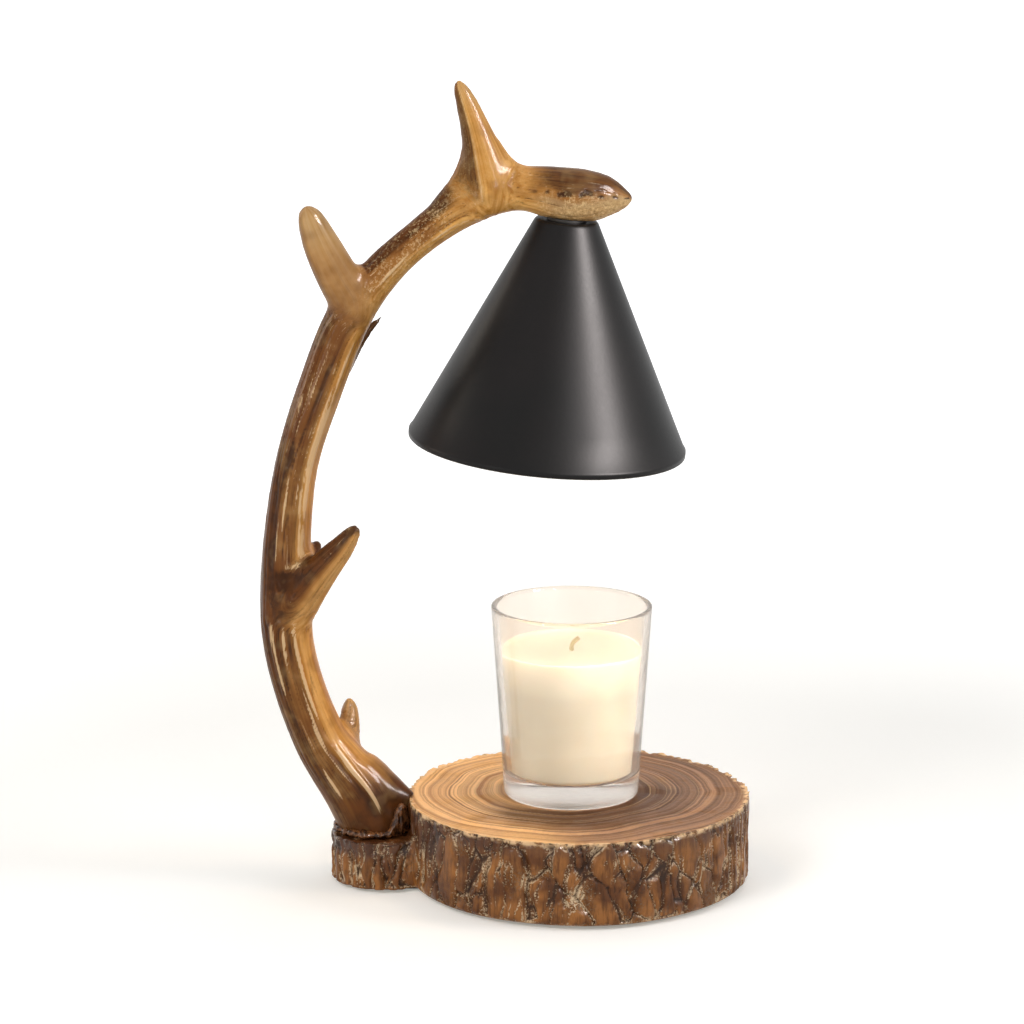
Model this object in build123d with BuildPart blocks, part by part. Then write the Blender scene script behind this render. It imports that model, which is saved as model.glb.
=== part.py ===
from build123d import *
from math import atan, atan2, cos, pi, radians, sin, tan
import os

# Candle warmer lamp: a cast resin log slice carries a cast antler arm, and a steel cone shade with a
# reflector lamp hangs from the arm's end over a jar candle. All sizes are millimetres.
# Frame: origin on the floor under the middle of the slice, +X from the antler's foot towards the
# slice, +Y to the rear where the cord and the dimmer are, +Z up.

# ---- Driving dimensions: log slice and burl ----
slice_radius = 72.0  # over the bark
base_height = 37.0  # floor to sawn face
pad_thickness = 1.5
bark_ripple = 0.9  # how far the bark's outline swings in and out
bottom_round = 3.0
burl_reach = 8.5  # the burl's middle outside the bark
burl_radius = 23.5
burl_top = 22.0  # floor to the burl's top, where the antler stands
side_wall = 14.0
top_wall = 12.0
burl_wall = 7.0  # over the burl's hollow

# ---- Bark: the main fissures, cut as round grooves ----
fissure_pitch = 15.0  # along the bark
fissure_width = 3.4
fissure_depth = 1.5
fissure_length = 30.0
fissure_lean = 12.0  # degrees from upright, at most
slant_angle = 300.0  # where the plates lean most, to the right
slant_lean = 24.0
burl_fissure_pitch = 10.0
burl_fissure_width = 2.6
burl_fissure_depth = 1.1
burl_fissure_clear = 5.0  # smooth band under the burl's top
fissure_margin = 5.0  # bark left whole beside a recess or the burl
burl_side = 180.0  # direction of the burl from the slice's middle

# ---- Underside: cover plate, pad and screws ----
cover_thickness = 2.5
cover_margin = 9.0  # bark to the cover's edge
cover_lobe_radius = 17.0
cover_gap = 0.3
cover_ledge = 3.0  # width that carries the cover's lobe
pad_inset = 1.5
cover_screw_radius = 1.5
cover_screw_length = 12.0
cover_screw_head_radius = 2.9
cover_screw_head_height = 1.6
cover_screw_inset = 6.0  # inside the cavity's wall
cover_screw_start = 30.0
pad_hole_radius = 4.0
screw_cross = 0.8  # width of a screw's cross
screw_cross_depth = 0.8
cover_boss_radius = 4.5
screw_clearance = 0.1

# ---- Antler: stations from the middle of the burl's top (across, up, half-width, half-depth) ----
beam_stations = [
    (-3.5, -8.0, 12.5, 13.0),
    (-6.5, 4.0, 14.5, 14.0),
    (-12.0, 16.0, 14.8, 13.8),
    (-21.5, 29.0, 12.7, 12.4),
    (-27.8, 39.0, 11.5, 11.3),
    (-35.2, 58.0, 11.0, 11.0),
    (-40.2, 78.0, 10.9, 10.9),
    (-41.5, 98.0, 11.2, 11.0),
    (-40.3, 128.0, 10.1, 10.0),
    (-36.0, 158.0, 9.1, 9.0),
    (-26.5, 188.0, 9.6, 9.3),
    (-15.0, 217.0, 9.6, 9.3),
    (-1.5, 236.0, 8.2, 8.2),
    (14.5, 251.0, 7.4, 7.6),
    (34.5, 265.0, 8.8, 8.6),
    (55.5, 271.5, 9.1, 9.2),
    (77.0, 268.6, 11.8, 12.0),
    (89.5, 268.4, 9.4, 10.0),
    (97.5, 267.6, 4.8, 6.5),
    (102.5, 267.3, 1.2, 2.0),
]

# Tines, from the same point (across, back, up, radius). A negative "back" comes forward.
crest_tine = [
    (44.0, 0.0, 270.0, 11.0),
    (42.0, 0.0, 280.0, 10.0),
    (39.9, 0.0, 289.0, 7.9),
    (37.3, 0.0, 298.0, 6.0),
    (33.8, 0.0, 308.0, 4.4),
    (31.3, 0.0, 314.3, 2.4),
    (30.5, 0.0, 316.2, 0.8),
]
brow_tine = [
    (-11.5, 0.0, 224.0, 10.0),
    (-18.0, -4.5, 235.5, 9.0),
    (-24.5, -9.0, 249.5, 7.8),
    (-28.5, -12.0, 260.0, 5.8),
    (-30.3, -13.0, 264.8, 3.6),
    (-30.8, -13.3, 266.5, 1.2),
]
bay_tine = [
    (-38.5, -2.0, 95.0, 9.5),
    (-32.5, -6.0, 105.0, 8.6),
    (-23.5, -10.5, 117.0, 5.8),
    (-17.7, -13.0, 124.0, 4.0),
    (-12.8, -15.3, 131.0, 2.4),
    (-10.3, -16.3, 134.8, 0.9),
]
knob_tine = [
    (-33.5, 3.0, 112.0, 5.0),
    (-30.0, 7.0, 118.5, 3.4),
    (-28.1, 8.6, 121.0, 2.2),
    (-27.5, 9.2, 122.2, 0.8),
]
rear_tine = [
    (-25.0, 2.0, 181.0, 5.5),
    (-14.0, 7.0, 196.0, 4.3),
    (-6.0, 11.0, 208.5, 2.8),
    (-0.5, 13.0, 215.3, 1.7),
    (0.8, 13.5, 216.8, 0.8),
]
foot_tine = [
    (-19.5, 4.0, 28.0, 7.5),
    (-16.5, 9.0, 38.0, 5.4),
    (-15.8, 11.5, 46.0, 4.2),
    (-15.9, 12.5, 51.0, 2.8),
    (-16.1, 12.8, 53.6, 1.0),
]
root_gap = 0.3  # between the antler's foot and the slice's side
bead_width = 2.4
bead_height = 4.5
bead_round = 1.5

# ---- Conduit cast into the antler, and the two leads inside it ----
conduit_radius = 4.0
conduit_bore = 3.0
conduit_gap = 0.15
conduit_tail = 0.5  # past its nut
conduit_rise = 9.5  # straight above the burl's top before the conduit leans
conduit_end_station = 15  # the beam station that the conduit stops just past
conduit_overrun = 7.0
lead_turn_rise = 1.0  # where the leads turn down, above the beam's line
root_nut_radius = 7.0
root_nut_thickness = 3.0
root_washer_radius = 8.5
root_washer_thickness = 1.0
lead_radius = 1.1
lead_offset = 1.25
lead_bend = 6.0  # radius where the leads turn down into the nipple
lead_end = 18.7  # down the nipple, measured from the shade's top
lead_foot_bend = 4.0
lead_floor_gap = 0.9  # between the leads and the cover plate
lead_strip = 3.0  # how far a lead runs into its terminal
lead_out = 7.0  # straight out of the terminal
lead_down = 21.0  # from the terminal to the cover plate
lead_pinch = 1.2  # sideways on the way down
board_lead_aside = 4.0
board_lead_run = 24.0  # straight out of the dimmer's board
board_lead_turn = 8.0  # where they turn to the terminal block

# ---- Head: everything below hangs on the nipple's axis, measured down from the shade's top ----
head_across = 75.1  # shade's top from the middle of the burl's top
head_up = 259.0
head_lean = 4.8  # degrees, rim towards the antler
head_tip = 2.0  # degrees, rim towards the rear
seat_washer_thickness = 1.0
seat_washer_radius = 8.0
seat_relief_radius = 16.0
seat_relief_depth = 12.0
nipple_radius = 5.0
nipple_bore = 3.5
nipple_gap = 0.1
nipple_embed = 7.0
nipple_length = 17.0
swivel_gap = 0.3
shade_top_radius = 13.0
shade_rim_radius = 57.5
shade_height = 95.0
shade_wall = 1.0
shade_plate = 1.2
hem_depth = 2.5
hem_wall = 1.9
hem_round = 0.4
bracket_thickness = 1.0
bracket_half_length = 10.0
bracket_width = 14.0
bracket_foot = 6.0
lock_washer_radius = 7.5
lock_washer_thickness = 0.8
lock_nut_flats = 14.0
lock_nut_thickness = 4.0
holder_drop = 14.0  # shade's top to the lampholder's top
holder_radius = 13.5
holder_height = 17.0
holder_round = 1.0
holder_well_radius = 3.0
holder_well_depth = 5.0
holder_face = 3.0  # thickness of the slotted face
holder_ring_outer = 8.4
holder_ring_inner = 1.8
holder_ring_height = 7.0
contact_thickness = 0.8
contact_width = 3.0
contact_inset = 0.3
stem_radius = 0.6
stem_gap = 0.05
stem_offset = 2.3
holder_screw_offset = 6.6
holder_screw_radius = 1.5
holder_screw_length = 6.0
holder_screw_head_radius = 2.2
holder_screw_head_height = 1.8

# ---- Reflector lamp with a twist-lock base ----
pin_circle_radius = 5.0
pin_radius = 1.5
pin_head_radius = 2.5
pin_head_height = 2.4
pin_embed = 2.0
pin_gap = 0.3
twist_angle = 30.0
lamp_gap = 0.4
lamp_base_radius = 12.0
lamp_base_height = 12.0
reflector_radius = 25.0
reflector_height = 35.0
reflector_wall = 1.6
reflector_middle_radius = 20.5
lens_thickness = 2.0
lens_inset = 1.0
lens_gap = 0.4
lens_taper = 8.0
capsule_radius = 4.5
capsule_wall = 0.8
capsule_height = 17.0
capsule_round = 2.5
filament_radius = 0.5
filament_span = 3.6
filament_rise = 8.0

# ---- Candle ----
candle_x = -2.8
candle_y = 1.7
jar_rim_radius = 33.7
jar_foot_radius = 28.1
jar_height = 81.5
jar_wall = 2.6
jar_floor = 9.5
jar_foot_round = 2.0
jar_lip_round = 0.9
wax_freeboard = 18.5  # rim to the wax's edge
wax_dish = 1.6
wax_meniscus = 5.0  # width of the raised edge
wax_gap = 0.1
wick_radius = 0.9
wick_gap = 0.1
wick_rise = 4.0
wick_lean = 3.0
tab_radius = 9.0
tab_thickness = 0.4
tab_neck_radius = 2.0
tab_neck_height = 3.0

# ---- Dimmer and cord entry, on radial axes of the slice ----
dimmer_angle = 90.0
control_rise = 0.5  # axes of the dimmer and the cord entry above the cavity's middle
dimmer_sink = 6.0  # depth of the knob's recess in the bark
dimmer_recess_radius = 11.5
dimmer_wall = 5.0
bush_radius = 3.5
bush_length = 7.5
bush_bore = 3.1
dimmer_nut_radius = 5.6
dimmer_nut_thickness = 2.0
dimmer_body_length = 10.0
shaft_radius = 3.0
shaft_flat = 1.5
shaft_length = 18.5
shaft_tail = 4.0  # inside the dimmer's body
shaft_end_gap = 0.2
knob_radius = 9.0
knob_height = 11.0
knob_gap = 0.6
knob_skirt = 3.0
knob_fit = 0.05
knob_line_width = 1.2
knob_line_depth = 0.5
knob_round = 1.0
knob_taper = 3.0
board_width = 34.0
board_clear = 2.0  # shared above and below the board
board_thickness = 1.6
dimmer_pocket_gap = 1.0  # round the dimmer's body
cord_angle = 145.0
cord_sink = 3.0
cord_wall = 9.0
gland_radius = 5.0
gland_bore = 3.2
gland_flange_radius = 8.0
gland_flange_thickness = 2.5
gland_length = 14.0
gland_nut_radius = 8.0
gland_nut_thickness = 4.0
gland_gap = 0.2
gland_recess_gap = 1.0  # round the flange
gland_pocket_gap = 1.5  # round the nut
gland_round = 0.8

# ---- Terminal block on the cavity's ceiling ----
block_x = -30.0
block_length = 15.0
block_width = 18.0
block_height = 9.0
pole_pitch = 8.0
pole_radius = 2.4
pole_bore = 1.6
pole_screw_radius = 1.3
block_screw_radius = 1.3
block_screw_length = 15.0
block_screw_head_radius = 2.4
block_screw_head_height = 1.6


# ---- Places worked out from the dimensions ----
burl_x = -slice_radius - burl_reach
split_x = (slice_radius**2 - burl_radius**2 + burl_x**2) / (2 * burl_x)  # where the two rounds cross
split_half_width = (burl_radius**2 - (burl_x - split_x) ** 2) ** 0.5
cavity_radius = slice_radius - side_wall
cavity_ceiling = base_height - top_wall
burl_ceiling = burl_top - burl_wall
cover_radius = slice_radius - cover_margin
cover_screw_circle = cavity_radius - cover_screw_inset
dimmer_seat = slice_radius - dimmer_sink
cord_seat = slice_radius - cord_sink
wax_level = jar_height - wax_freeboard
pin_length = holder_face + lamp_gap + pin_gap + pin_head_height
contact_length = holder_ring_outer - holder_ring_inner - 2 * contact_inset
cover_top = pad_thickness + cover_thickness
control_height = (cover_top + cavity_ceiling) / 2 + control_rise
board_height = cavity_ceiling - cover_top - 2 * board_clear
dimmer_body_radius = board_height / 2
dimmer_pocket_radius = dimmer_body_radius + dimmer_pocket_gap
gland_pocket_radius = gland_nut_radius + gland_pocket_gap
root = Vector(burl_x, 0, burl_top)
head_axis = Vector(sin(radians(-head_lean)), sin(radians(head_tip)), -1).normalized()
head_plane = Plane(origin=root + Vector(head_across, 0, head_up), x_dir=(0, 1, 0), z_dir=head_axis)
candle_plane = Plane(origin=(candle_x, candle_y, base_height))
shade_slope = atan((shade_rim_radius - shade_top_radius) / shade_height)
lock_washer_top = shade_plate + bracket_thickness
lock_nut_top = lock_washer_top + lock_washer_thickness
holder_bottom = holder_drop + holder_height
ring_bottom = holder_bottom - holder_face
lamp_top = holder_bottom + lamp_gap
reflector_top = lamp_top + lamp_base_height
reflector_bottom = reflector_top + reflector_height

os.makedirs("parts", exist_ok=True)


def save(piece, name):
    """Labels a finished piece and writes its STEP file."""
    piece.part.label = name
    export_step(piece.part, f"parts/{name}.step")


def radial_plane(angle, height=control_height):
    """A plane on the slice's middle whose normal points outwards at that angle."""
    outwards = Vector(cos(radians(angle)), sin(radians(angle)), 0)
    return Plane(origin=(0, 0, height), x_dir=outwards.cross(Vector(0, 0, -1)), z_dir=outwards)


def turning_plane(plane):
    """The plane of a turned piece's profile: local x is the radius, local y runs along the axis."""
    return Plane(origin=plane.origin, x_dir=plane.x_dir, z_dir=plane.x_dir.cross(plane.z_dir))


def axis_of(plane):
    """The axis of a turned piece that is set out on that plane."""
    return Axis(plane.origin, plane.z_dir)


def bend_radii(points):
    """The largest radius that each corner of a route takes between its two runs."""
    radii = []
    for before, here, after in zip(points, points[1:], points[2:]):
        run_in, run_out = here - before, after - here
        half_turn = radians(run_in.get_angle(run_out)) / 2
        radii.append(0.45 * min(run_in.length, run_out.length) / tan(half_turn))
    return radii


def tube(points, radius, bore=0.0, radii=None):
    """A round tube along straight runs joined by arcs."""
    with BuildPart() as made:
        with BuildLine():
            route = FilletPolyline(*points, radius=radii or bend_radii(points))
        with BuildSketch(Plane(origin=route @ 0, z_dir=route % 0)):
            Circle(radius)
            if bore:
                Circle(bore, mode=Mode.SUBTRACT)
        sweep()
    return made.part


def horn(stations):
    """A lofted horn through oval sections (centre, half-width, half-depth) square to its run."""
    centres = [centre for centre, _, _ in stations]
    with BuildPart() as made:
        for i, (centre, half_width, half_depth) in enumerate(stations):
            run = centres[min(i + 1, len(centres) - 1)] - centres[max(i - 1, 0)]
            with BuildSketch(Plane(origin=centre, x_dir=Vector(0, 1, 0).cross(run), z_dir=run)):
                Ellipse(half_width, half_depth)
        loft()
    return made.part


def tine(stations):
    """A round tine from its table of places and radii."""
    return horn([(root + Vector(x, y, z), radius, radius) for x, y, z, radius in stations])


def beam(grow=0.0):
    """The antler's main beam, grown by a clearance where another piece fits round it."""
    return horn([(root + Vector(x, 0, z), a + grow, b + grow) for x, z, a, b in beam_stations])


# ---- Routes that several pieces share ----
beam_line = [root + Vector(x, 0, z) for x, z, _, _ in beam_stations]
conduit_x = beam_stations[0][0]
conduit_route = [
    root + Vector(conduit_x, 0, -burl_wall - root_washer_thickness - root_nut_thickness - conduit_tail),
    root + Vector(conduit_x, 0, conduit_rise),
    *beam_line[3:conduit_end_station + 1],
]
head_top_rise = beam_stations[conduit_end_station + 1][1] - head_up + lead_turn_rise
head_top = head_plane.origin - head_axis * head_top_rise
conduit_stop = conduit_route[-1] + (head_top - conduit_route[-1]).normalized() * conduit_overrun
conduit_route.append(conduit_stop)


# ---- Log slice and burl ----
def bark_radius(angle):
    """The bark's radius at an angle in degrees: a round log with a slow, uneven ripple."""
    slow = sin(radians(3 * angle + 25))
    medium = 0.7 * sin(radians(5 * angle + 110))
    quick = 0.4 * sin(radians(8 * angle))
    return slice_radius + bark_ripple * (slow + medium + quick) / 2


def polar_point(radius, angle):
    """The point at that radius and angle in degrees."""
    return (radius * cos(radians(angle)), radius * sin(radians(angle)))


def apart(angle, other):
    """How far apart two directions are, in degrees from 0 to 180."""
    return abs((angle - other + 180) % 360 - 180)


def bark_is_free(angle):
    """Whether a fissure at that angle keeps clear of the burl, the dimmer and the cord entry."""
    keep_clear = (
        (burl_side, split_half_width),
        (dimmer_angle, dimmer_recess_radius),
        (cord_angle, gland_flange_radius + gland_recess_gap),
    )
    return all(
        slice_radius * radians(apart(angle, middle)) > half_width + fissure_width / 2 + fissure_margin
        for middle, half_width in keep_clear
    )


def slice_fissures():
    """A plane on each main fissure of the slice's bark, with Z along the fissure."""
    count = round(2 * pi * slice_radius / fissure_pitch)
    planes = []
    for number in range(count):
        angle = (number + 0.3 * sin(2.4 * number)) * 360 / count
        slant = slant_lean * max(0, cos(radians(angle - slant_angle))) ** 8
        lean = radians(fissure_lean * sin(1.7 * number) + slant)
        height = base_height / 2 + (base_height - fissure_length) * sin(0.9 * number)
        middle = (*polar_point(bark_radius(angle) + fissure_width / 2 - fissure_depth, angle), height)
        run = (-sin(radians(angle)) * sin(lean), cos(radians(angle)) * sin(lean), cos(lean))
        if bark_is_free(angle):
            planes.append(Plane(origin=middle, z_dir=run))
    return planes


def burl_fissures():
    """The same for the burl, upright."""
    arc = 2 * pi - 2 * atan2(split_half_width, split_x - burl_x) - 2 * fissure_margin / burl_radius
    count = round(arc * burl_radius / burl_fissure_pitch)
    planes = []
    for number in range(count):
        angle = pi + arc * ((number + 0.5 + 0.2 * sin(2.1 * number)) / count - 0.5)
        x, y = polar_point(burl_radius + burl_fissure_width / 2 - burl_fissure_depth, angle * 180 / pi)
        planes.append(Plane(origin=(burl_x + x, y, pad_thickness)))
    return planes


def lobe_outline(radius):
    """A straight lane from the slice's middle to a round end under the burl."""
    with BuildSketch() as lobe:
        with Locations((burl_x / 2, 0)):
            Rectangle(-burl_x, 2 * radius)
        with Locations((burl_x, 0)):
            Circle(radius)
    return lobe.sketch


def cover_outline(grow=0.0):
    """The underside's keyhole outline: a disc under the slice and a lobe under the burl."""
    with BuildSketch() as outline:
        Circle(cover_radius + grow)
        add(lobe_outline(cover_lobe_radius + grow))
    return outline.sketch


cover_screw_places = PolarLocations(cover_screw_circle, 4, start_angle=cover_screw_start)

with BuildPart() as stump:
    with BuildSketch(Plane.XY.offset(pad_thickness)):
        with BuildLine():
            Spline(*[polar_point(bark_radius(angle), angle) for angle in range(0, 360, 12)], periodic=True)
        make_face()
    extrude(amount=base_height - pad_thickness)
    fillet(stump.edges().group_by(Axis.Z)[0], bottom_round)
    with BuildSketch(Plane.XY.offset(pad_thickness)):
        with Locations((burl_x, 0)):
            Circle(burl_radius)
    extrude(amount=burl_top - pad_thickness)
    with Locations(*slice_fissures()):
        Cylinder(fissure_width / 2, fissure_length, mode=Mode.SUBTRACT)
    with Locations(*burl_fissures()):
        Cylinder(
            burl_fissure_width / 2,
            burl_top - burl_fissure_clear - pad_thickness,
            align=(Align.CENTER, Align.CENTER, Align.MIN),
            mode=Mode.SUBTRACT,
        )
    with BuildSketch(Plane.XY.offset(pad_thickness)):
        add(cover_outline(cover_gap))
    extrude(amount=cover_thickness, mode=Mode.SUBTRACT)
    with BuildSketch(Plane.XY.offset(pad_thickness)):
        Circle(cavity_radius)
    extrude(amount=cavity_ceiling - pad_thickness, mode=Mode.SUBTRACT)
    with BuildSketch(Plane.XY.offset(cover_top)):
        add(lobe_outline(cover_lobe_radius - cover_ledge))
    extrude(amount=burl_ceiling - cover_top, mode=Mode.SUBTRACT)
    with BuildSketch(Plane.XY.offset(cover_top)):
        with cover_screw_places:
            Circle(cover_boss_radius)
    extrude(amount=cavity_ceiling - cover_top)
    with BuildSketch(Plane.XY.offset(cover_top)):
        with cover_screw_places:
            Circle(cover_screw_radius + screw_clearance)
    extrude(amount=cover_screw_length, mode=Mode.SUBTRACT)
    with BuildSketch(Plane.XY.offset(burl_ceiling)):
        with Locations((burl_x + conduit_x, 0)):
            Circle(conduit_radius + conduit_gap)
    extrude(amount=burl_top - burl_ceiling, mode=Mode.SUBTRACT)
    with BuildSketch(Plane.XY.offset(cavity_ceiling)):
        with Locations((block_x, 0)):
            Circle(block_screw_radius + screw_clearance)
    extrude(amount=block_screw_length - block_height, mode=Mode.SUBTRACT)
    # Dimmer: a round recess in the bark, a flat inside and a hole between them.
    with BuildSketch(radial_plane(dimmer_angle).offset(dimmer_seat)):
        Circle(dimmer_recess_radius)
    extrude(amount=slice_radius, mode=Mode.SUBTRACT)
    with BuildSketch(radial_plane(dimmer_angle).offset(cavity_radius - dimmer_pocket_radius)):
        Circle(dimmer_pocket_radius)
    extrude(amount=dimmer_seat - dimmer_wall - cavity_radius + dimmer_pocket_radius, mode=Mode.SUBTRACT)
    with BuildSketch(radial_plane(dimmer_angle).offset(cavity_radius - dimmer_pocket_radius)):
        Circle(bush_radius + screw_clearance)
    extrude(amount=slice_radius - cavity_radius + dimmer_pocket_radius, mode=Mode.SUBTRACT)
    # Cord entry: the same, smaller.
    with BuildSketch(radial_plane(cord_angle).offset(cord_seat)):
        Circle(gland_flange_radius + gland_recess_gap)
    extrude(amount=slice_radius, mode=Mode.SUBTRACT)
    with BuildSketch(radial_plane(cord_angle).offset(cavity_radius - gland_pocket_radius)):
        Circle(gland_pocket_radius)
    extrude(amount=cord_seat - cord_wall - cavity_radius + gland_pocket_radius, mode=Mode.SUBTRACT)
    with BuildSketch(radial_plane(cord_angle).offset(cavity_radius)):
        Circle(gland_radius + gland_gap)
    extrude(amount=slice_radius, mode=Mode.SUBTRACT)

# The burl is cast on its own, and stands against a flat on the slice.
with BuildPart() as burl:
    add(stump.part)
    with Locations((split_x, 0, 0)):
        Box(
            2 * burl_radius,
            2 * burl_radius,
            burl_top,
            align=(Align.MAX, Align.CENTER, Align.MIN),
            mode=Mode.INTERSECT,
        )
save(burl, "burl_base")

with BuildPart() as log_slice:
    add(stump.part)
    add(burl.part, mode=Mode.SUBTRACT)
save(log_slice, "stump_base")


# ---- Underside: cover plate, its screws and the foot pad ----
with BuildPart() as cover:
    with BuildSketch(Plane.XY.offset(pad_thickness)):
        add(cover_outline())
    extrude(amount=cover_thickness)
    with BuildSketch(Plane.XY.offset(pad_thickness)):
        with cover_screw_places:
            Circle(cover_screw_radius + screw_clearance)
    extrude(amount=cover_thickness, mode=Mode.SUBTRACT)
    with BuildSketch(Plane.XY.offset(pad_thickness)):
        with cover_screw_places:
            Circle(cover_screw_head_radius + screw_clearance)
    extrude(amount=cover_screw_head_height, mode=Mode.SUBTRACT)
save(cover, "cover_plate")

with BuildPart() as cover_screws:
    with BuildSketch(Plane.XY.offset(pad_thickness)):
        with cover_screw_places:
            Circle(cover_screw_head_radius)
    extrude(amount=cover_screw_head_height)
    with BuildSketch(Plane.XY.offset(pad_thickness + cover_screw_head_height)):
        with cover_screw_places:
            Circle(cover_screw_radius)
    extrude(amount=cover_screw_length - cover_screw_head_height)
    with BuildSketch(Plane.XY.offset(pad_thickness)):
        with cover_screw_places:
            Rectangle(1.3 * cover_screw_head_radius, screw_cross)
            Rectangle(screw_cross, 1.3 * cover_screw_head_radius)
    extrude(amount=screw_cross_depth, mode=Mode.SUBTRACT)
save(cover_screws, "cover_screws")

with BuildPart() as foot_pad:
    with BuildSketch(Plane.XY):
        add(cover_outline(-pad_inset))
        with cover_screw_places:
            Circle(pad_hole_radius, mode=Mode.SUBTRACT)
    extrude(amount=pad_thickness)
save(foot_pad, "foot_pad")


# ---- Antler arm ----
conduit_radii = bend_radii([*conduit_route[:-1], conduit_stop])
channel = tube([*conduit_route[:-1], head_top], conduit_radius + conduit_gap, radii=conduit_radii)
slice_clear_radius = slice_radius + 1.05 * bark_ripple + root_gap

with BuildPart() as antler:
    add(beam())
    for tine_stations in (crest_tine, brow_tine, bay_tine, knob_tine, rear_tine, foot_tine):
        add(tine(tine_stations))
    with BuildSketch(Plane.XY.offset(burl_top)):
        with Locations((burl_x, 0)):
            Circle(3 * burl_radius)
    extrude(amount=-burl_top, mode=Mode.SUBTRACT)
    with BuildSketch(Plane.XY.offset(burl_top)):
        Circle(slice_clear_radius)
    extrude(amount=base_height + root_gap - burl_top, mode=Mode.SUBTRACT)
    add(channel, mode=Mode.SUBTRACT)
    with BuildSketch(head_plane.offset(-seat_washer_thickness)):
        Circle(seat_relief_radius)
    extrude(amount=seat_relief_depth, mode=Mode.SUBTRACT)
    with BuildSketch(head_plane):
        Circle(nipple_radius + nipple_gap)
    extrude(amount=-(head_top - head_plane.origin).length, mode=Mode.SUBTRACT)
save(antler, "antler_arm")

bead_x = (beam_stations[0][0] + beam_stations[1][0]) / 2
with BuildPart() as root_bead:
    with BuildSketch(Plane.XY.offset(burl_top)):
        with Locations((burl_x + bead_x, 0)):
            Ellipse(beam_stations[1][2] + bead_width, beam_stations[1][3] + bead_width)
    extrude(amount=bead_height)
    fillet(root_bead.edges().group_by(Axis.Z)[-1], bead_round)
    add(beam(conduit_gap), mode=Mode.SUBTRACT)
    with BuildSketch(Plane.XY.offset(burl_top)):
        Circle(slice_clear_radius)
    extrude(amount=bead_height, mode=Mode.SUBTRACT)
save(root_bead, "root_bead")


# ---- Conduit, its washer and nut ----
with BuildPart() as conduit:
    add(tube(conduit_route, conduit_radius, conduit_bore, radii=conduit_radii))
save(conduit, "arm_conduit")

conduit_place = Locations((burl_x + conduit_x, 0))
with BuildPart() as root_washer:
    with BuildSketch(Plane.XY.offset(burl_ceiling)):
        with conduit_place:
            Circle(root_washer_radius)
            Circle(conduit_radius + conduit_gap, mode=Mode.SUBTRACT)
    extrude(amount=-root_washer_thickness)
save(root_washer, "root_washer")

with BuildPart() as root_nut:
    with BuildSketch(Plane.XY.offset(burl_ceiling - root_washer_thickness)):
        with conduit_place:
            RegularPolygon(root_nut_radius, 6)
            Circle(conduit_radius + conduit_gap, mode=Mode.SUBTRACT)
    extrude(amount=-root_nut_thickness)
save(root_nut, "root_nut")


# ---- Terminal block on the cavity's ceiling ----
block_bottom = cavity_ceiling - block_height
pole_z = cavity_ceiling - block_height / 2
block_plane = Plane(origin=(block_x - block_length / 2, 0, pole_z), x_dir=(0, 1, 0), z_dir=(1, 0, 0))
pole_places = [(-pole_pitch / 2, 0), (pole_pitch / 2, 0)]
wire_screw_places = [
    (block_x + end * block_length / 4, side * pole_pitch / 2) for end in (-1, 1) for side in (-1, 1)
]

with BuildPart() as terminal_block:
    with BuildSketch(Plane.XY.offset(block_bottom)):
        with Locations((block_x, 0)):
            Rectangle(block_length, block_width)
    extrude(amount=block_height)
    fillet(terminal_block.edges().filter_by(Axis.Z), bead_round)
    with BuildSketch(block_plane):
        with Locations(*pole_places):
            Circle(pole_radius + screw_clearance)
    extrude(amount=block_length, mode=Mode.SUBTRACT)
    with BuildSketch(Plane.XY.offset(block_bottom)):
        with Locations(*wire_screw_places):
            Circle(pole_screw_radius + screw_clearance)
        with Locations((block_x, 0)):
            Circle(block_screw_radius + screw_clearance)
    extrude(amount=block_height / 2, mode=Mode.SUBTRACT)
    with BuildSketch(Plane.XY.offset(block_bottom)):
        with Locations((block_x, 0)):
            Circle(block_screw_radius + screw_clearance)
    extrude(amount=block_height, mode=Mode.SUBTRACT)
save(terminal_block, "terminal_block")

with BuildPart() as terminal_poles:
    with BuildSketch(block_plane):
        with Locations(*pole_places):
            Circle(pole_radius)
            Circle(pole_bore, mode=Mode.SUBTRACT)
    extrude(amount=block_length)
    with BuildSketch(Plane.XY.offset(block_bottom)):
        with Locations(*wire_screw_places):
            Circle(pole_screw_radius + screw_clearance)
    extrude(amount=block_height / 2, mode=Mode.SUBTRACT)
save(terminal_poles, "terminal_poles")

wire_screw_length = block_height / 2 - lead_radius - screw_clearance
with BuildPart() as terminal_screws:
    with BuildSketch(Plane.XY.offset(block_bottom)):
        with Locations(*wire_screw_places):
            Circle(pole_screw_radius)
    extrude(amount=wire_screw_length)
    with BuildSketch(Plane.XY.offset(block_bottom)):
        with Locations(*wire_screw_places):
            Rectangle(2 * pole_screw_radius, screw_cross / 2)
    extrude(amount=screw_cross_depth, mode=Mode.SUBTRACT)
save(terminal_screws, "terminal_screws")

with BuildPart() as block_screw:
    with BuildSketch(Plane.XY.offset(block_bottom - block_screw_head_height)):
        with Locations((block_x, 0)):
            Circle(block_screw_head_radius)
    extrude(amount=block_screw_head_height)
    with BuildSketch(Plane.XY.offset(block_bottom)):
        with Locations((block_x, 0)):
            Circle(block_screw_radius)
    extrude(amount=block_screw_length - block_screw_head_height)
save(block_screw, "block_screw")


# ---- Leads: terminal block, conduit, nipple, lampholder ----
lead_floor = cover_top + lead_radius + lead_floor_gap
conduit_foot = conduit_route[0]


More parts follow.
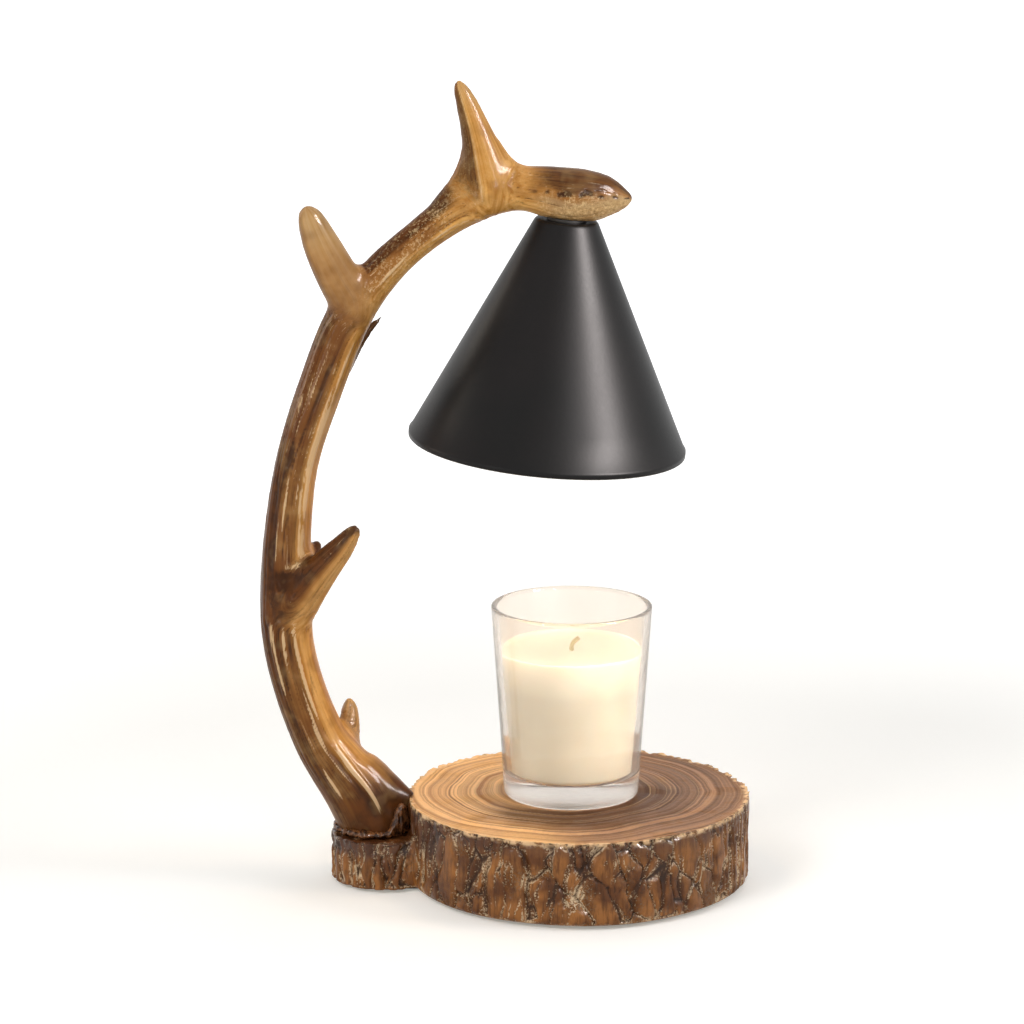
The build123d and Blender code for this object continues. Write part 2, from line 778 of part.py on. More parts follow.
def lead_route(side):
    """A lead's corners. Inside the conduit it follows the conduit, moved sideways."""
    aside = Vector(0, side * lead_offset, 0)
    pole_y = side * pole_pitch / 2
    start_x = block_x - block_length / 2
    return [
        Vector(start_x + lead_strip, pole_y, pole_z),
        Vector(start_x - lead_out, pole_y, pole_z),
        Vector(start_x - lead_down, pole_y - side * lead_pinch, lead_floor + lead_radius),
        Vector(conduit_foot.X, side * lead_offset, lead_floor),
        *[corner + aside for corner in conduit_route[1:-1]],
        head_top + aside,
        head_plane.origin + head_axis * lead_end + aside,
    ]


for side, name in ((1, "lead_live"), (-1, "lead_neutral")):
    corners = lead_route(side)
    radii = bend_radii(corners[:5])
    lead_radii = [*radii[:2], lead_foot_bend, *conduit_radii, lead_bend]
    with BuildPart() as lead:
        add(tube(corners, lead_radius, radii=lead_radii))
    save(lead, name)


# ---- Dimmer on a radial axis through the rear wall ----
dimmer_plane = radial_plane(dimmer_angle)
wall_inside = dimmer_seat - dimmer_wall
body_inside = wall_inside - dimmer_body_length

with BuildPart() as dimmer_body:
    with BuildSketch(dimmer_plane.offset(body_inside)):
        Circle(dimmer_body_radius)
    extrude(amount=dimmer_body_length)
    with BuildSketch(dimmer_plane.offset(wall_inside)):
        Circle(bush_radius)
    extrude(amount=bush_length)
    with BuildSketch(dimmer_plane.offset(wall_inside - shaft_tail)):
        Circle(bush_bore)
    extrude(amount=shaft_tail + bush_length, mode=Mode.SUBTRACT)
save(dimmer_body, "dimmer_body")

with BuildPart() as dimmer_nut:
    with BuildSketch(dimmer_plane.offset(dimmer_seat)):
        RegularPolygon(dimmer_nut_radius, 6)
        Circle(bush_radius + screw_clearance, mode=Mode.SUBTRACT)
    extrude(amount=dimmer_nut_thickness)
save(dimmer_nut, "dimmer_nut")

shaft_start = wall_inside - shaft_tail + shaft_end_gap
bush_end = wall_inside + bush_length
with BuildPart() as dimmer_shaft:
    with BuildSketch(dimmer_plane.offset(shaft_start)):
        Circle(shaft_radius)
    extrude(amount=shaft_length)
    with BuildSketch(dimmer_plane.offset(bush_end)):
        with Locations((0, shaft_flat)):
            Rectangle(2 * shaft_radius, shaft_radius, align=(Align.CENTER, Align.MIN))
    extrude(amount=shaft_length, mode=Mode.SUBTRACT)
save(dimmer_shaft, "dimmer_shaft")

knob_seat = dimmer_seat + knob_gap
shaft_tip = shaft_start + shaft_length
knob_face = dimmer_plane.offset(knob_seat + knob_height)
with BuildPart() as dimmer_knob:
    with BuildSketch(dimmer_plane.offset(knob_seat)):
        Circle(knob_radius)
    extrude(amount=knob_height, taper=knob_taper)
    fillet(dimmer_knob.faces().sort_by(Axis.Y)[-1].edges(), knob_round)
    with BuildSketch(dimmer_plane.offset(knob_seat)):
        Circle(dimmer_nut_radius + knob_gap)
    extrude(amount=knob_skirt, mode=Mode.SUBTRACT)
    with BuildSketch(dimmer_plane.offset(knob_seat + knob_skirt)):
        Circle(shaft_radius + knob_fit)
        with Locations((0, shaft_flat + knob_fit)):
            Rectangle(3 * shaft_radius, shaft_radius, align=(Align.CENTER, Align.MIN), mode=Mode.SUBTRACT)
    extrude(amount=shaft_tip + shaft_end_gap - knob_seat - knob_skirt, mode=Mode.SUBTRACT)
    with BuildSketch(knob_face):
        with Locations((0, 0)):
            Rectangle(knob_line_width, knob_radius, align=(Align.CENTER, Align.MIN))
    extrude(amount=-knob_line_depth, mode=Mode.SUBTRACT)
save(dimmer_knob, "dimmer_knob")

with BuildPart() as dimmer_board:
    with BuildSketch(dimmer_plane.offset(body_inside)):
        Rectangle(board_width, board_height)
    extrude(amount=-board_thickness)
save(dimmer_board, "dimmer_board")

board_face = body_inside - board_thickness
with BuildPart() as board_leads:
    for side in (-1, 1):
        pole_y = side * pole_pitch / 2
        block_end = block_x + block_length / 2
        corners = [
            Vector(-pole_y - board_lead_aside, board_face, control_height),
            Vector(-pole_y - board_lead_aside, board_face - board_lead_run, control_height),
            Vector(block_end + board_lead_turn - pole_y, pole_y + board_lead_turn, pole_z),
            Vector(block_end + board_lead_turn - pole_y / 2, pole_y, pole_z),
            Vector(block_end - lead_strip, pole_y, pole_z),
        ]
        add(tube(corners, lead_radius))
save(board_leads, "board_leads")


# ---- Cord entry ----
cord_plane = radial_plane(cord_angle)
with BuildPart() as cord_gland:
    with BuildSketch(cord_plane.offset(cord_seat)):
        Circle(gland_flange_radius)
    extrude(amount=gland_flange_thickness)
    fillet(cord_gland.edges(), gland_round)
    with BuildSketch(cord_plane.offset(cord_seat)):
        Circle(gland_radius)
    extrude(amount=-gland_length)
    with BuildSketch(cord_plane.offset(cord_seat + gland_flange_thickness)):
        Circle(gland_bore)
    extrude(amount=-gland_flange_thickness - gland_length, mode=Mode.SUBTRACT)
save(cord_gland, "cord_gland")

with BuildPart() as gland_nut:
    with BuildSketch(cord_plane.offset(cord_seat - cord_wall)):
        RegularPolygon(gland_nut_radius, 6)
        Circle(gland_radius + gland_gap, mode=Mode.SUBTRACT)
    extrude(amount=-gland_nut_thickness)
save(gland_nut, "gland_nut")


# ---- Head: nipple, washers, nut and shade ----
with BuildPart() as nipple:
    with BuildSketch(head_plane.offset(-seat_washer_thickness - nipple_embed)):
        Circle(nipple_radius)
        Circle(nipple_bore, mode=Mode.SUBTRACT)
    extrude(amount=nipple_length)
save(nipple, "head_nipple")


def head_washer(depth, thickness, radius):
    """A flat washer on the nipple, its upper face that far below the shade's top."""
    with BuildPart() as made:
        with BuildSketch(head_plane.offset(depth)):
            Circle(radius)
            Circle(nipple_radius + nipple_gap, mode=Mode.SUBTRACT)
        extrude(amount=thickness)
    return made


save(head_washer(-seat_washer_thickness, seat_washer_thickness, seat_washer_radius), "seat_washer")
save(head_washer(lock_washer_top, lock_washer_thickness, lock_washer_radius), "lock_washer")

with BuildPart() as lock_nut:
    with BuildSketch(head_plane.offset(lock_nut_top)):
        RegularPolygon(lock_nut_flats / 2, 6, major_radius=False)
        Circle(nipple_radius + nipple_gap, mode=Mode.SUBTRACT)
    extrude(amount=lock_nut_thickness)
save(lock_nut, "lock_nut")


def cone_radius(depth):
    """The shade's outer radius at a depth below its top."""
    return shade_top_radius + (shade_rim_radius - shade_top_radius) * depth / shade_height


shade_across = shade_wall / cos(shade_slope)
hem_across = hem_wall / cos(shade_slope)
hem_top = shade_height - hem_depth
head_profile = turning_plane(head_plane)
with BuildPart() as shade:
    with BuildSketch(head_profile):
        with BuildLine():
            Polyline(
                (nipple_radius + swivel_gap, 0),
                (shade_top_radius, 0),
                (shade_rim_radius, shade_height),
                (shade_rim_radius - hem_across, shade_height),
                (cone_radius(hem_top) - hem_across, hem_top),
                (cone_radius(hem_top) - shade_across, hem_top),
                (cone_radius(shade_plate) - shade_across, shade_plate),
                (nipple_radius + swivel_gap, shade_plate),
                close=True,
            )
        make_face()
    revolve(axis=axis_of(head_plane))
    hem_edges = shade.edges().filter_by(GeomType.CIRCLE).sort_by(lambda edge: edge.radius)
    fillet(hem_edges[-2:], hem_round)
save(shade, "shade")


# ---- Lampholder and its bracket ----
with BuildPart() as bracket:
    with BuildSketch(head_profile):
        with BuildLine():
            Polyline(
                (bracket_half_length - bracket_foot, holder_drop),
                (bracket_half_length, holder_drop),
                (bracket_half_length, shade_plate),
                (-bracket_half_length, shade_plate),
                (-bracket_half_length, holder_drop),
                (bracket_foot - bracket_half_length, holder_drop),
            )
            offset(amount=bracket_thickness, side=Side.RIGHT)
        make_face()
    extrude(amount=bracket_width / 2, both=True)
    with BuildSketch(head_plane):
        Circle(nipple_radius + swivel_gap)
    extrude(amount=holder_drop - 2 * bracket_thickness, mode=Mode.SUBTRACT)
    with BuildSketch(head_plane.offset(holder_drop)):
        with Locations((-holder_screw_offset, 0), (holder_screw_offset, 0)):
            Circle(holder_screw_radius + screw_clearance)
    extrude(amount=-2 * bracket_thickness, mode=Mode.SUBTRACT)
save(bracket, "holder_bracket")

pin_places = PolarLocations(pin_circle_radius, 2)
slot_arcs = [
    CenterArc((0, 0), pin_circle_radius, start, twist_angle) for start in (-twist_angle, 180 - twist_angle)
]
ring_top = ring_bottom - holder_ring_height
contact_post_length = lamp_top - pin_length - pin_gap - ring_top - contact_thickness

with BuildPart() as lampholder:
    with BuildSketch(head_plane.offset(holder_drop)):
        Circle(holder_radius)
    extrude(amount=holder_height)
    fillet(lampholder.edges().filter_by(GeomType.CIRCLE), holder_round)
    with BuildSketch(head_plane.offset(holder_drop)):
        Circle(holder_well_radius)
    extrude(amount=holder_well_depth, mode=Mode.SUBTRACT)
    with BuildSketch(head_plane.offset(holder_drop)):
        with Locations((-holder_screw_offset, 0), (holder_screw_offset, 0)):
            Circle(holder_screw_radius + screw_clearance)
    extrude(amount=holder_screw_length, mode=Mode.SUBTRACT)
    with BuildSketch(head_plane.offset(ring_top)):
        Circle(holder_ring_outer)
        Circle(holder_ring_inner, mode=Mode.SUBTRACT)
    extrude(amount=holder_ring_height, mode=Mode.SUBTRACT)
    with BuildSketch(head_plane.offset(ring_bottom)):
        for slot_arc in slot_arcs:
            SlotArc(slot_arc, 2 * (pin_radius + pin_gap))
        with PolarLocations(pin_circle_radius, 2, start_angle=-twist_angle):
            Circle(pin_head_radius + pin_gap)
    extrude(amount=holder_face, mode=Mode.SUBTRACT)
    with BuildSketch(head_plane.offset(holder_drop + holder_well_depth)):
        with PolarLocations(stem_offset, 2):
            Circle(stem_radius + stem_gap)
    extrude(amount=ring_top - holder_drop - holder_well_depth, mode=Mode.SUBTRACT)
save(lampholder, "lampholder")

with BuildPart() as contacts:
    with BuildSketch(head_plane.offset(ring_top)):
        with PolarLocations(holder_ring_inner + contact_inset + contact_length / 2, 2):
            Rectangle(contact_length, contact_width)
    extrude(amount=contact_thickness)
    with BuildSketch(head_plane.offset(ring_top + contact_thickness)):
        with pin_places:
            Circle(pin_radius)
    extrude(amount=contact_post_length)
    with BuildSketch(head_plane.offset(ring_top)):
        with PolarLocations(stem_offset, 2):
            Circle(stem_radius)
    extrude(amount=holder_drop + holder_well_depth - ring_top)
save(contacts, "holder_contacts")

with BuildPart() as holder_screws:
    foot_top = holder_drop - bracket_thickness
    with BuildSketch(head_plane.offset(foot_top)):
        with Locations((-holder_screw_offset, 0), (holder_screw_offset, 0)):
            Circle(holder_screw_radius)
    extrude(amount=holder_screw_length)
    with BuildSketch(head_plane.offset(foot_top)):
        with Locations((-holder_screw_offset, 0), (holder_screw_offset, 0)):
            Circle(holder_screw_head_radius)
    extrude(amount=-holder_screw_head_height)
save(holder_screws, "holder_screws")


# ---- Reflector lamp ----
with BuildPart() as bulb_base:
    with BuildSketch(head_plane.offset(lamp_top)):
        Circle(lamp_base_radius)
    extrude(amount=lamp_base_height)
    fillet(bulb_base.edges().sort_by(axis_of(head_plane))[0], holder_round)
    with BuildSketch(head_plane.offset(lamp_top)):
        with pin_places:
            Circle(pin_radius + stem_gap)
    extrude(amount=pin_embed, mode=Mode.SUBTRACT)
save(bulb_base, "bulb_base")

with BuildPart() as bulb_pins:
    with BuildSketch(head_plane.offset(lamp_top + pin_embed)):
        with pin_places:
            Circle(pin_radius)
    extrude(amount=-pin_embed - pin_length)
    with BuildSketch(head_plane.offset(lamp_top - pin_length)):
        with pin_places:
            Circle(pin_head_radius)
    extrude(amount=pin_head_height)
save(bulb_pins, "bulb_pins")


reflector_floor = reflector_top + reflector_wall
with BuildPart() as reflector:
    with BuildSketch(head_profile):
        with BuildLine():
            Line((0, reflector_top), (lamp_base_radius, reflector_top))
            ThreePointArc(
                (lamp_base_radius, reflector_top),
                (reflector_middle_radius, reflector_top + reflector_height / 2),
                (reflector_radius, reflector_bottom),
            )
            Line((reflector_radius, reflector_bottom), (reflector_radius - reflector_wall, reflector_bottom))
            ThreePointArc(
                (reflector_radius - reflector_wall, reflector_bottom),
                (reflector_middle_radius - reflector_wall, reflector_top + reflector_height / 2),
                (lamp_base_radius - reflector_wall, reflector_floor),
            )
            Line((lamp_base_radius - reflector_wall, reflector_floor), (0, reflector_floor))
            Line((0, reflector_floor), (0, reflector_top))
        make_face()
    revolve(axis=axis_of(head_plane))
save(reflector, "bulb_reflector")

lens_bottom = reflector_bottom - lens_inset
lens_radius = reflector_radius - reflector_wall - lens_gap
with BuildPart() as bulb_glass:
    with BuildSketch(head_plane.offset(lens_bottom)):
        Circle(lens_radius)
    extrude(amount=-lens_thickness, taper=lens_taper)
save(bulb_glass, "bulb_glass")

capsule_end = reflector_floor + capsule_height
with BuildPart() as capsule:
    with BuildSketch(head_profile):
        with BuildLine():
            Polyline(
                (0, capsule_end),
                (capsule_radius - capsule_round, capsule_end),
                (capsule_radius, capsule_end - capsule_round),
                (capsule_radius, reflector_floor),
                (capsule_radius - capsule_wall, reflector_floor),
                (capsule_radius - capsule_wall, capsule_end - capsule_round),
                (capsule_radius - capsule_round, capsule_end - capsule_wall),
                (0, capsule_end - capsule_wall),
                close=True,
            )
        make_face()
    revolve(axis=axis_of(head_plane))
save(capsule, "bulb_capsule")

filament_corners = [
    head_plane.from_local_coords(Vector(x, 0, reflector_floor + z))
    for x, z in (
        (-filament_span / 2, 0),
        (-filament_span / 2, filament_rise),
        (filament_span / 2, filament_rise),
        (filament_span / 2, 0),
    )
]
with BuildPart() as filament:
    add(tube(filament_corners, filament_radius))
save(filament, "bulb_filament")


# ---- Candle: jar, wick tab, wick and wax ----
jar_profile = Plane(origin=candle_plane.origin, x_dir=(1, 0, 0), z_dir=(0, -1, 0))
jar_axis = Axis(candle_plane.origin, (0, 0, 1))


def jar_radius(height):
    """The jar's outer radius at a height above its foot."""
    return jar_foot_radius + (jar_rim_radius - jar_foot_radius) * height / jar_height


with BuildPart() as jar:
    with BuildSketch(jar_profile):
        with BuildLine():
            Polyline(
                (0, 0),
                (jar_foot_radius, 0),
                (jar_rim_radius, jar_height),
                (jar_rim_radius - jar_wall, jar_height),
                (jar_radius(jar_floor) - jar_wall, jar_floor),
                (0, jar_floor),
                close=True,
            )
        make_face()
    revolve(axis=jar_axis)
    fillet(jar.edges().group_by(Axis.Z)[-1], jar_lip_round)
    fillet(jar.edges().group_by(Axis.Z)[0], jar_foot_round)
save(jar, "candle_jar")

wick_foot = jar_floor + tab_thickness
with BuildPart() as wick_tab:
    with BuildSketch(candle_plane.offset(jar_floor)):
        Circle(tab_radius)
    extrude(amount=tab_thickness)
    with BuildSketch(candle_plane.offset(wick_foot)):
        Circle(tab_neck_radius)
        Circle(wick_radius + wick_gap, mode=Mode.SUBTRACT)
    extrude(amount=tab_neck_height)
save(wick_tab, "wick_tab")

wick_corners = [
    candle_plane.origin + Vector(0, 0, wick_foot),
    candle_plane.origin + Vector(0, 0, wax_level + wick_rise / 3),
    candle_plane.origin + Vector(wick_lean, 0, wax_level + wick_rise),
]
with BuildPart() as wick:
    add(tube(wick_corners, wick_radius))
save(wick, "candle_wick")

wax_foot_radius = jar_radius(jar_floor) - jar_wall - wax_gap
wax_edge_radius = jar_radius(wax_level) - jar_wall - wax_gap
with BuildPart() as wax:
    with BuildSketch(jar_profile):
        with BuildLine():
            Line((0, jar_floor), (wax_foot_radius, jar_floor))
            Line((wax_foot_radius, jar_floor), (wax_edge_radius, wax_level))
            Spline(
                (wax_edge_radius, wax_level),
                (wax_edge_radius - wax_meniscus, wax_level - wax_dish),
                (0, wax_level - wax_dish),
                tangents=[(-1, -2), (-1, 0)],
            )
            Line((0, wax_level - wax_dish), (0, jar_floor))
        make_face()
    revolve(axis=jar_axis)
    with BuildSketch(candle_plane.offset(jar_floor)):
        Circle(tab_radius)
    extrude(amount=tab_thickness, mode=Mode.SUBTRACT)
    with BuildSketch(candle_plane.offset(jar_floor)):
        Circle(tab_neck_radius)
    extrude(amount=tab_thickness + tab_neck_height, mode=Mode.SUBTRACT)
    with BuildSketch(candle_plane.offset(jar_floor)):
        Circle(wick_radius + wick_gap)
    extrude(amount=wax_level, mode=Mode.SUBTRACT)
save(wax, "candle_wax")
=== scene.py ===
from math import atan2, cos, exp, hypot, pi, radians, sin
import bmesh
import bpy
from mathutils import Matrix, Vector, noise
from mathutils.kdtree import KDTree


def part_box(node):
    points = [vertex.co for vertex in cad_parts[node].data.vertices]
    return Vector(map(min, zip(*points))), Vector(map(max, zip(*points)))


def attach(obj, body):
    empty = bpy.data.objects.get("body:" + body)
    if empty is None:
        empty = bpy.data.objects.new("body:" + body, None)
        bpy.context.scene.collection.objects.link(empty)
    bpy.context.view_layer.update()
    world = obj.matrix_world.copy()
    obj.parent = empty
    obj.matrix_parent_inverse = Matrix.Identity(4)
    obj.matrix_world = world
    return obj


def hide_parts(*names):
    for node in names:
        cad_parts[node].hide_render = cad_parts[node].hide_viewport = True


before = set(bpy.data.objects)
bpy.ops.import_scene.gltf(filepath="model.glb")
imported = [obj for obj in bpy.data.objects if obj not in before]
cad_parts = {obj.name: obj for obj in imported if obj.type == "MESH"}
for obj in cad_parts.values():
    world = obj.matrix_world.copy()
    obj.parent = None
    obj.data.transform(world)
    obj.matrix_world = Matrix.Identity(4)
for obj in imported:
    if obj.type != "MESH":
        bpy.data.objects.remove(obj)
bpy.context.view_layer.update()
MM = 0.001


# Camera: a long lens in front of the lamp, a little above its shade and looking slightly down.
camera_data = bpy.data.cameras.new("camera")
camera_data.sensor_width = 36
camera_data.lens = 150
camera = bpy.data.objects.new("camera", camera_data)
camera.location = (-0.02772, -1.7245, 0.55275)
camera.rotation_euler = (radians(90 - 12.88), 0, 0)
bpy.context.scene.collection.objects.link(camera)
bpy.context.scene.camera = camera
bpy.context.scene.view_settings.view_transform = "Standard"


# Foot pad, cover plate and its screws: black felt glued to a black fibre board, which four zinc
# screws hold in the underside of the slice. Wire and Finish, the way every finish here is written,
# come first: a Wire is one socket, and a Finish is a material round one Principled shader.
def linear(red, green, blue):
    """A colour given on the 0 to 255 scale of a screen, as a shader takes it."""

    def light(level):
        return ((level / 255 + 0.055) / 1.055) ** 2.4 if level > 10 else level / 3295

    return light(red), light(green), light(blue), 1


class Wire:
    """One output of a material's nodes. A formula on wires adds its Math nodes."""

    def __init__(self, finish, socket):
        self.finish = finish
        self.socket = socket

    def calc(self, operation, *others, clamp=False):
        values = dict(enumerate((self,) + others))
        return self.finish.node("ShaderNodeMath", {"operation": operation, "use_clamp": clamp}, values)

    def __add__(self, other):
        return self.calc("ADD", other)

    def __sub__(self, other):
        return self.calc("SUBTRACT", other)

    def __mul__(self, other):
        return self.calc("MULTIPLY", other)

    def limit(self, low, high):
        """0 below low and 1 above high, with a straight rise between them."""
        return ((self - low) * (1 / (high - low))).calc("ADD", 0, clamp=True)


class Finish:
    """A procedural material built round one Principled shader."""

    def __init__(self, name, **sockets):
        self.material = bpy.data.materials.new(name)
        self.material.use_nodes = True
        self.tree = self.material.node_tree
        self.shader = self.tree.nodes["Principled BSDF"]
        self.set(**sockets)

    def join(self, target, value):
        if isinstance(value, Wire):
            self.tree.links.new(value.socket, target)
        else:
            target.default_value = value

    def set(self, **sockets):
        """Sets or links the shader's sockets: an underscore stands for a space."""
        for name, value in sockets.items():
            self.join(self.shader.inputs[name.replace("_", " ")], value)

    def node(self, kind, settings=None, sockets=None, output=0):
        """Adds a node: its settings first, then its sockets, and returns one of its outputs."""
        made = self.tree.nodes.new(kind)
        for name, value in (settings or {}).items():
            setattr(made, name, value)
        for key, value in (sockets or {}).items():
            self.join(made.inputs[key], value)
        return Wire(self, made.outputs[output])

    def blend(self, factor, first, second):
        """The first colour where the factor is 0 and the second where it is 1."""
        return self.node("ShaderNodeMix", {"data_type": "RGBA"}, {0: factor, 6: first, 7: second}, 2)

    def place(self):
        """Where a point is on the object, in metres."""
        return self.node("ShaderNodeTexCoord", output=3)

    def along(self, axis):
        """How far a point is along X, Y or Z, which are 0, 1 and 2, in metres."""
        return self.node("ShaderNodeSeparateXYZ", sockets={0: self.place()}, output=axis)

    def read(self, attribute, output=2):
        """A value painted on the mesh: output 2 is a number and 1 a vector."""
        return self.node("ShaderNodeAttribute", {"attribute_name": attribute}, output=output)

    def scaled(self, vector, x, y, z):
        return self.node("ShaderNodeVectorMath", {"operation": "MULTIPLY"}, {0: vector, 1: (x, y, z)})

    def speckle(self, vector, scale, detail=3.0, rough=0.5):
        """Cloudy noise from 0 to 1, most of it near the middle."""
        sockets = {"Vector": vector, "Scale": scale, "Detail": detail, "Roughness": rough}
        return self.node("ShaderNodeTexNoise", sockets=sockets)

    def cells(self, vector, scale):
        """How far a point is from the middle of its cell."""
        return self.node("ShaderNodeTexVoronoi", sockets={"Vector": vector, "Scale": scale})

    def bump(self, height, depth, strength=1.0):
        """Makes the surface stand out by height times depth, in metres."""
        sockets = {"Height": height, "Distance": depth, "Strength": strength}
        return self.node("ShaderNodeBump", sockets=sockets)


def dress(finish, *nodes):
    """Gives CAD nodes a finish."""
    for node in nodes:
        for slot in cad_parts[node].material_slots:
            slot.material = finish.material


def grained(name, dark, light, size, roughness, depth, stretch=(1, 1, 1), **sockets):
    """A finish with a mottled colour and a fine grain of that size, in metres."""
    finish = Finish(name, **sockets)
    grain = finish.speckle(finish.scaled(finish.place(), *stretch), 1 / size, 4, 0.6)
    broad = finish.speckle(finish.place(), 0.12 / size, 2)
    finish.set(
        Base_Color=finish.blend(grain.limit(0.3, 0.7) * 0.6 + broad.limit(0.3, 0.7) * 0.4, dark, light),
        Roughness=grain * 0.2 + (roughness - 0.1),
        Normal=finish.bump(grain, depth),
    )
    return finish


felt = grained(
    "felt", linear(22, 22, 23), linear(52, 50, 49), 0.0006, 0.95, 0.0004, (1, 1, 0.3), Sheen_Weight=0.4,
)
board = grained("cover_board", linear(30, 27, 25), linear(48, 44, 40), 0.002, 0.7, 0.0001)
zinc = grained(
    "zinc_steel", linear(150, 150, 146), linear(205, 205, 200), 0.0015, 0.35, 0.00002, Metallic=1.0,
)
dress(felt, "foot_pad")
dress(board, "cover_plate")
dress(zinc, "cover_screws")


# Log slice and burl: two hollow castings in brown resin, glued and lacquered as one piece. The sawn
# face has raised year rings under a tan and umber wash, with a painted pool of warm lamp light on its
# left and painted shade on its right, and the bark is plates parted by fissures.
# The hollows below and the recesses for the cover, the knob and the cord gland stay as moulded.
log_voxel = 0.74 * MM
slice_radius = 72.0
slice_top = 37.0
burl_middle = Vector((-80.5, 0))
burl_radius = 23.5
burl_top = 22.0
pith = Vector((-7, 6))
hollow_radius, hollow_height = 59.5, 26.2
burl_hollow_radius, burl_hollow_height = 17.6, 15.8
shaft_low, shaft_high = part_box("dimmer_shaft")
control_height = (shaft_low[2] + shaft_high[2]) / 2 / MM
gland_turn = radians(145)
recess_clear = 12.5


def step_up(value, low, high):
    """0 below low, 1 above high, and a smooth rise between them. With high under low it falls."""
    t = min(max((value - low) / (high - low), 0.0), 1.0)
    return t * t * (3 - 2 * t)


def clouds(x, y, z, size, seed=0.0):
    """Smooth noise from about -1 to 1, with lumps of that size."""
    return noise.noise(Vector((x / size + seed, y / size - seed, z / size + 2 * seed)))


def cad_copy(*nodes):
    """A new bmesh with the shape of some CAD nodes and their seams welded."""
    mesh = bmesh.new()
    for node in nodes:
        mesh.from_mesh(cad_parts[node].data)
    bmesh.ops.remove_doubles(mesh, verts=mesh.verts, dist=1e-6)
    return mesh


def voxel_skin(mesh, size):
    """One closed skin over everything in the mesh, with even faces of about that size."""
    data = bpy.data.meshes.new("rough")
    mesh.to_mesh(data)
    mesh.free()
    rough = bpy.data.objects.new("rough", data)
    bpy.context.scene.collection.objects.link(rough)
    remesh = rough.modifiers.new("skin", "REMESH")
    remesh.mode = "VOXEL"
    remesh.voxel_size = size
    skin = bmesh.new()
    skin.from_object(rough, bpy.context.evaluated_depsgraph_get())
    bpy.data.objects.remove(rough)
    return skin


def smooth(mesh, verts, times):
    """Draws vertices towards their neighbours."""
    for _ in range(times):
        bmesh.ops.smooth_vert(
            mesh, verts=verts, factor=0.5, use_axis_x=True, use_axis_y=True, use_axis_z=True,
        )


def finish_piece(mesh, name, body, material, replaced):
    """Makes a piece of a finished bmesh, for the CAD body that it rides on and the nodes it replaces."""
    data = bpy.data.meshes.new(name)
    mesh.to_mesh(data)
    mesh.free()
    for face in data.polygons:
        face.use_smooth = True
    piece = bpy.data.objects.new(name, data)
    bpy.context.scene.collection.objects.link(piece)
    data.materials.append(material)
    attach(piece, body)
    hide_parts(*replaced)


def plates(x, y, z, wide, tall):
    """The bark's plates: how far a point is from the nearest fissure, and a number for its plate."""
    bend = Vector([clouds(x, y, z, 17, seed) for seed in (51, 67, 83)]) * 3.0
    distances, points = noise.voronoi(Vector(((x + bend.x) / wide, (y + bend.y) / wide, (z + bend.z) / tall)))
    return distances[1] - distances[0], noise.cell(points[0] * 9.7)


def bark_ripple(around):
    """How far the bark's outline swings out at an angle in degrees, in mm."""
    turn = radians(around)
    return 0.45 * (sin(3 * turn + radians(25)) + 0.7 * sin(5 * turn + radians(110)) + 0.4 * sin(8 * turn))


def bark_depth(x, y, z, around):
    """How deep the bark is below its outline in mm, then fissure, roughness and plate, each 0 to 1."""
    narrow = max(step_up(around, -38, -14), step_up(around, -150, -172))
    slant = step_up(around, -98, -80) * step_up(around, -30, -48)
    edge, plate = plates(x + slant * 0.42 * (z - 20), y, z, 10.0 - 4.4 * narrow, 30 + 20 * narrow)
    fissure = 1 - step_up(edge, 0.0, 0.08 + 0.06 * narrow)
    groove = step_up(slice_radius + bark_ripple(around) - hypot(x, y), 0.35, 1.3) if x > -69 else 0.0
    crown = step_up(edge, 0.03, 0.45)
    crack_line = abs(clouds(x, y, z / 5, 3.4, 11)) + 0.05 * clouds(x, y, z, 6, 4)
    crack = (1 - step_up(crack_line, 0.01, 0.08)) * step_up(clouds(x, y, z, 16, 23), -0.2, 0.25)
    rough = step_up(clouds(x, y, z, 13, 31) + 0.25 * clouds(x, y, z, 4, 2), 0.12, 0.38) * (1 - 0.4 * narrow)
    lumps = clouds(x, y, z, 1.7, 5) + 0.6 * clouds(x, y, z, 0.9, 9)
    depth = 1.25 * fissure + 0.6 * (1 - crown) + 0.55 * crack + 0.5 * plate * crown
    depth += rough * (0.45 + 0.5 * lumps) + 0.12 * clouds(x, y, z / 3, 2.2, 14)
    return depth * (1 - 0.5 * groove), max(0.8 * fissure, 0.7 * crack, 0.55 * groove), rough, plate


log = cad_copy("stump_base", "burl_base")
log = voxel_skin(log, log_voxel)
inner = [
    v for v in log.verts
    if v.co.z < hollow_height * MM and v.co.xy.length < hollow_radius * MM
    or v.co.z < burl_hollow_height * MM and (v.co.xy / MM - burl_middle).length < burl_hollow_radius
]
inner_set = set(inner)
flat_edges = [e for e in log.edges if e.verts[0] in inner_set and e.verts[1] in inner_set]
bmesh.ops.dissolve_limit(log, angle_limit=radians(4), verts=inner, edges=flat_edges)
log.normal_update()
crease = [
    v for v in log.verts
    if abs((v.co.xy / MM - burl_middle).length - burl_radius) < 3.2
    and abs(v.co.xy.length / MM - slice_radius) < 3.2
]
smooth(log, crease, 10)
log.normal_update()
names = ("fissure", "rough", "plate", "sawn", "grown", "rim", "stain", "sun", "umber")
layers = {name: log.verts.layers.float.new(name) for name in names}
moves = []
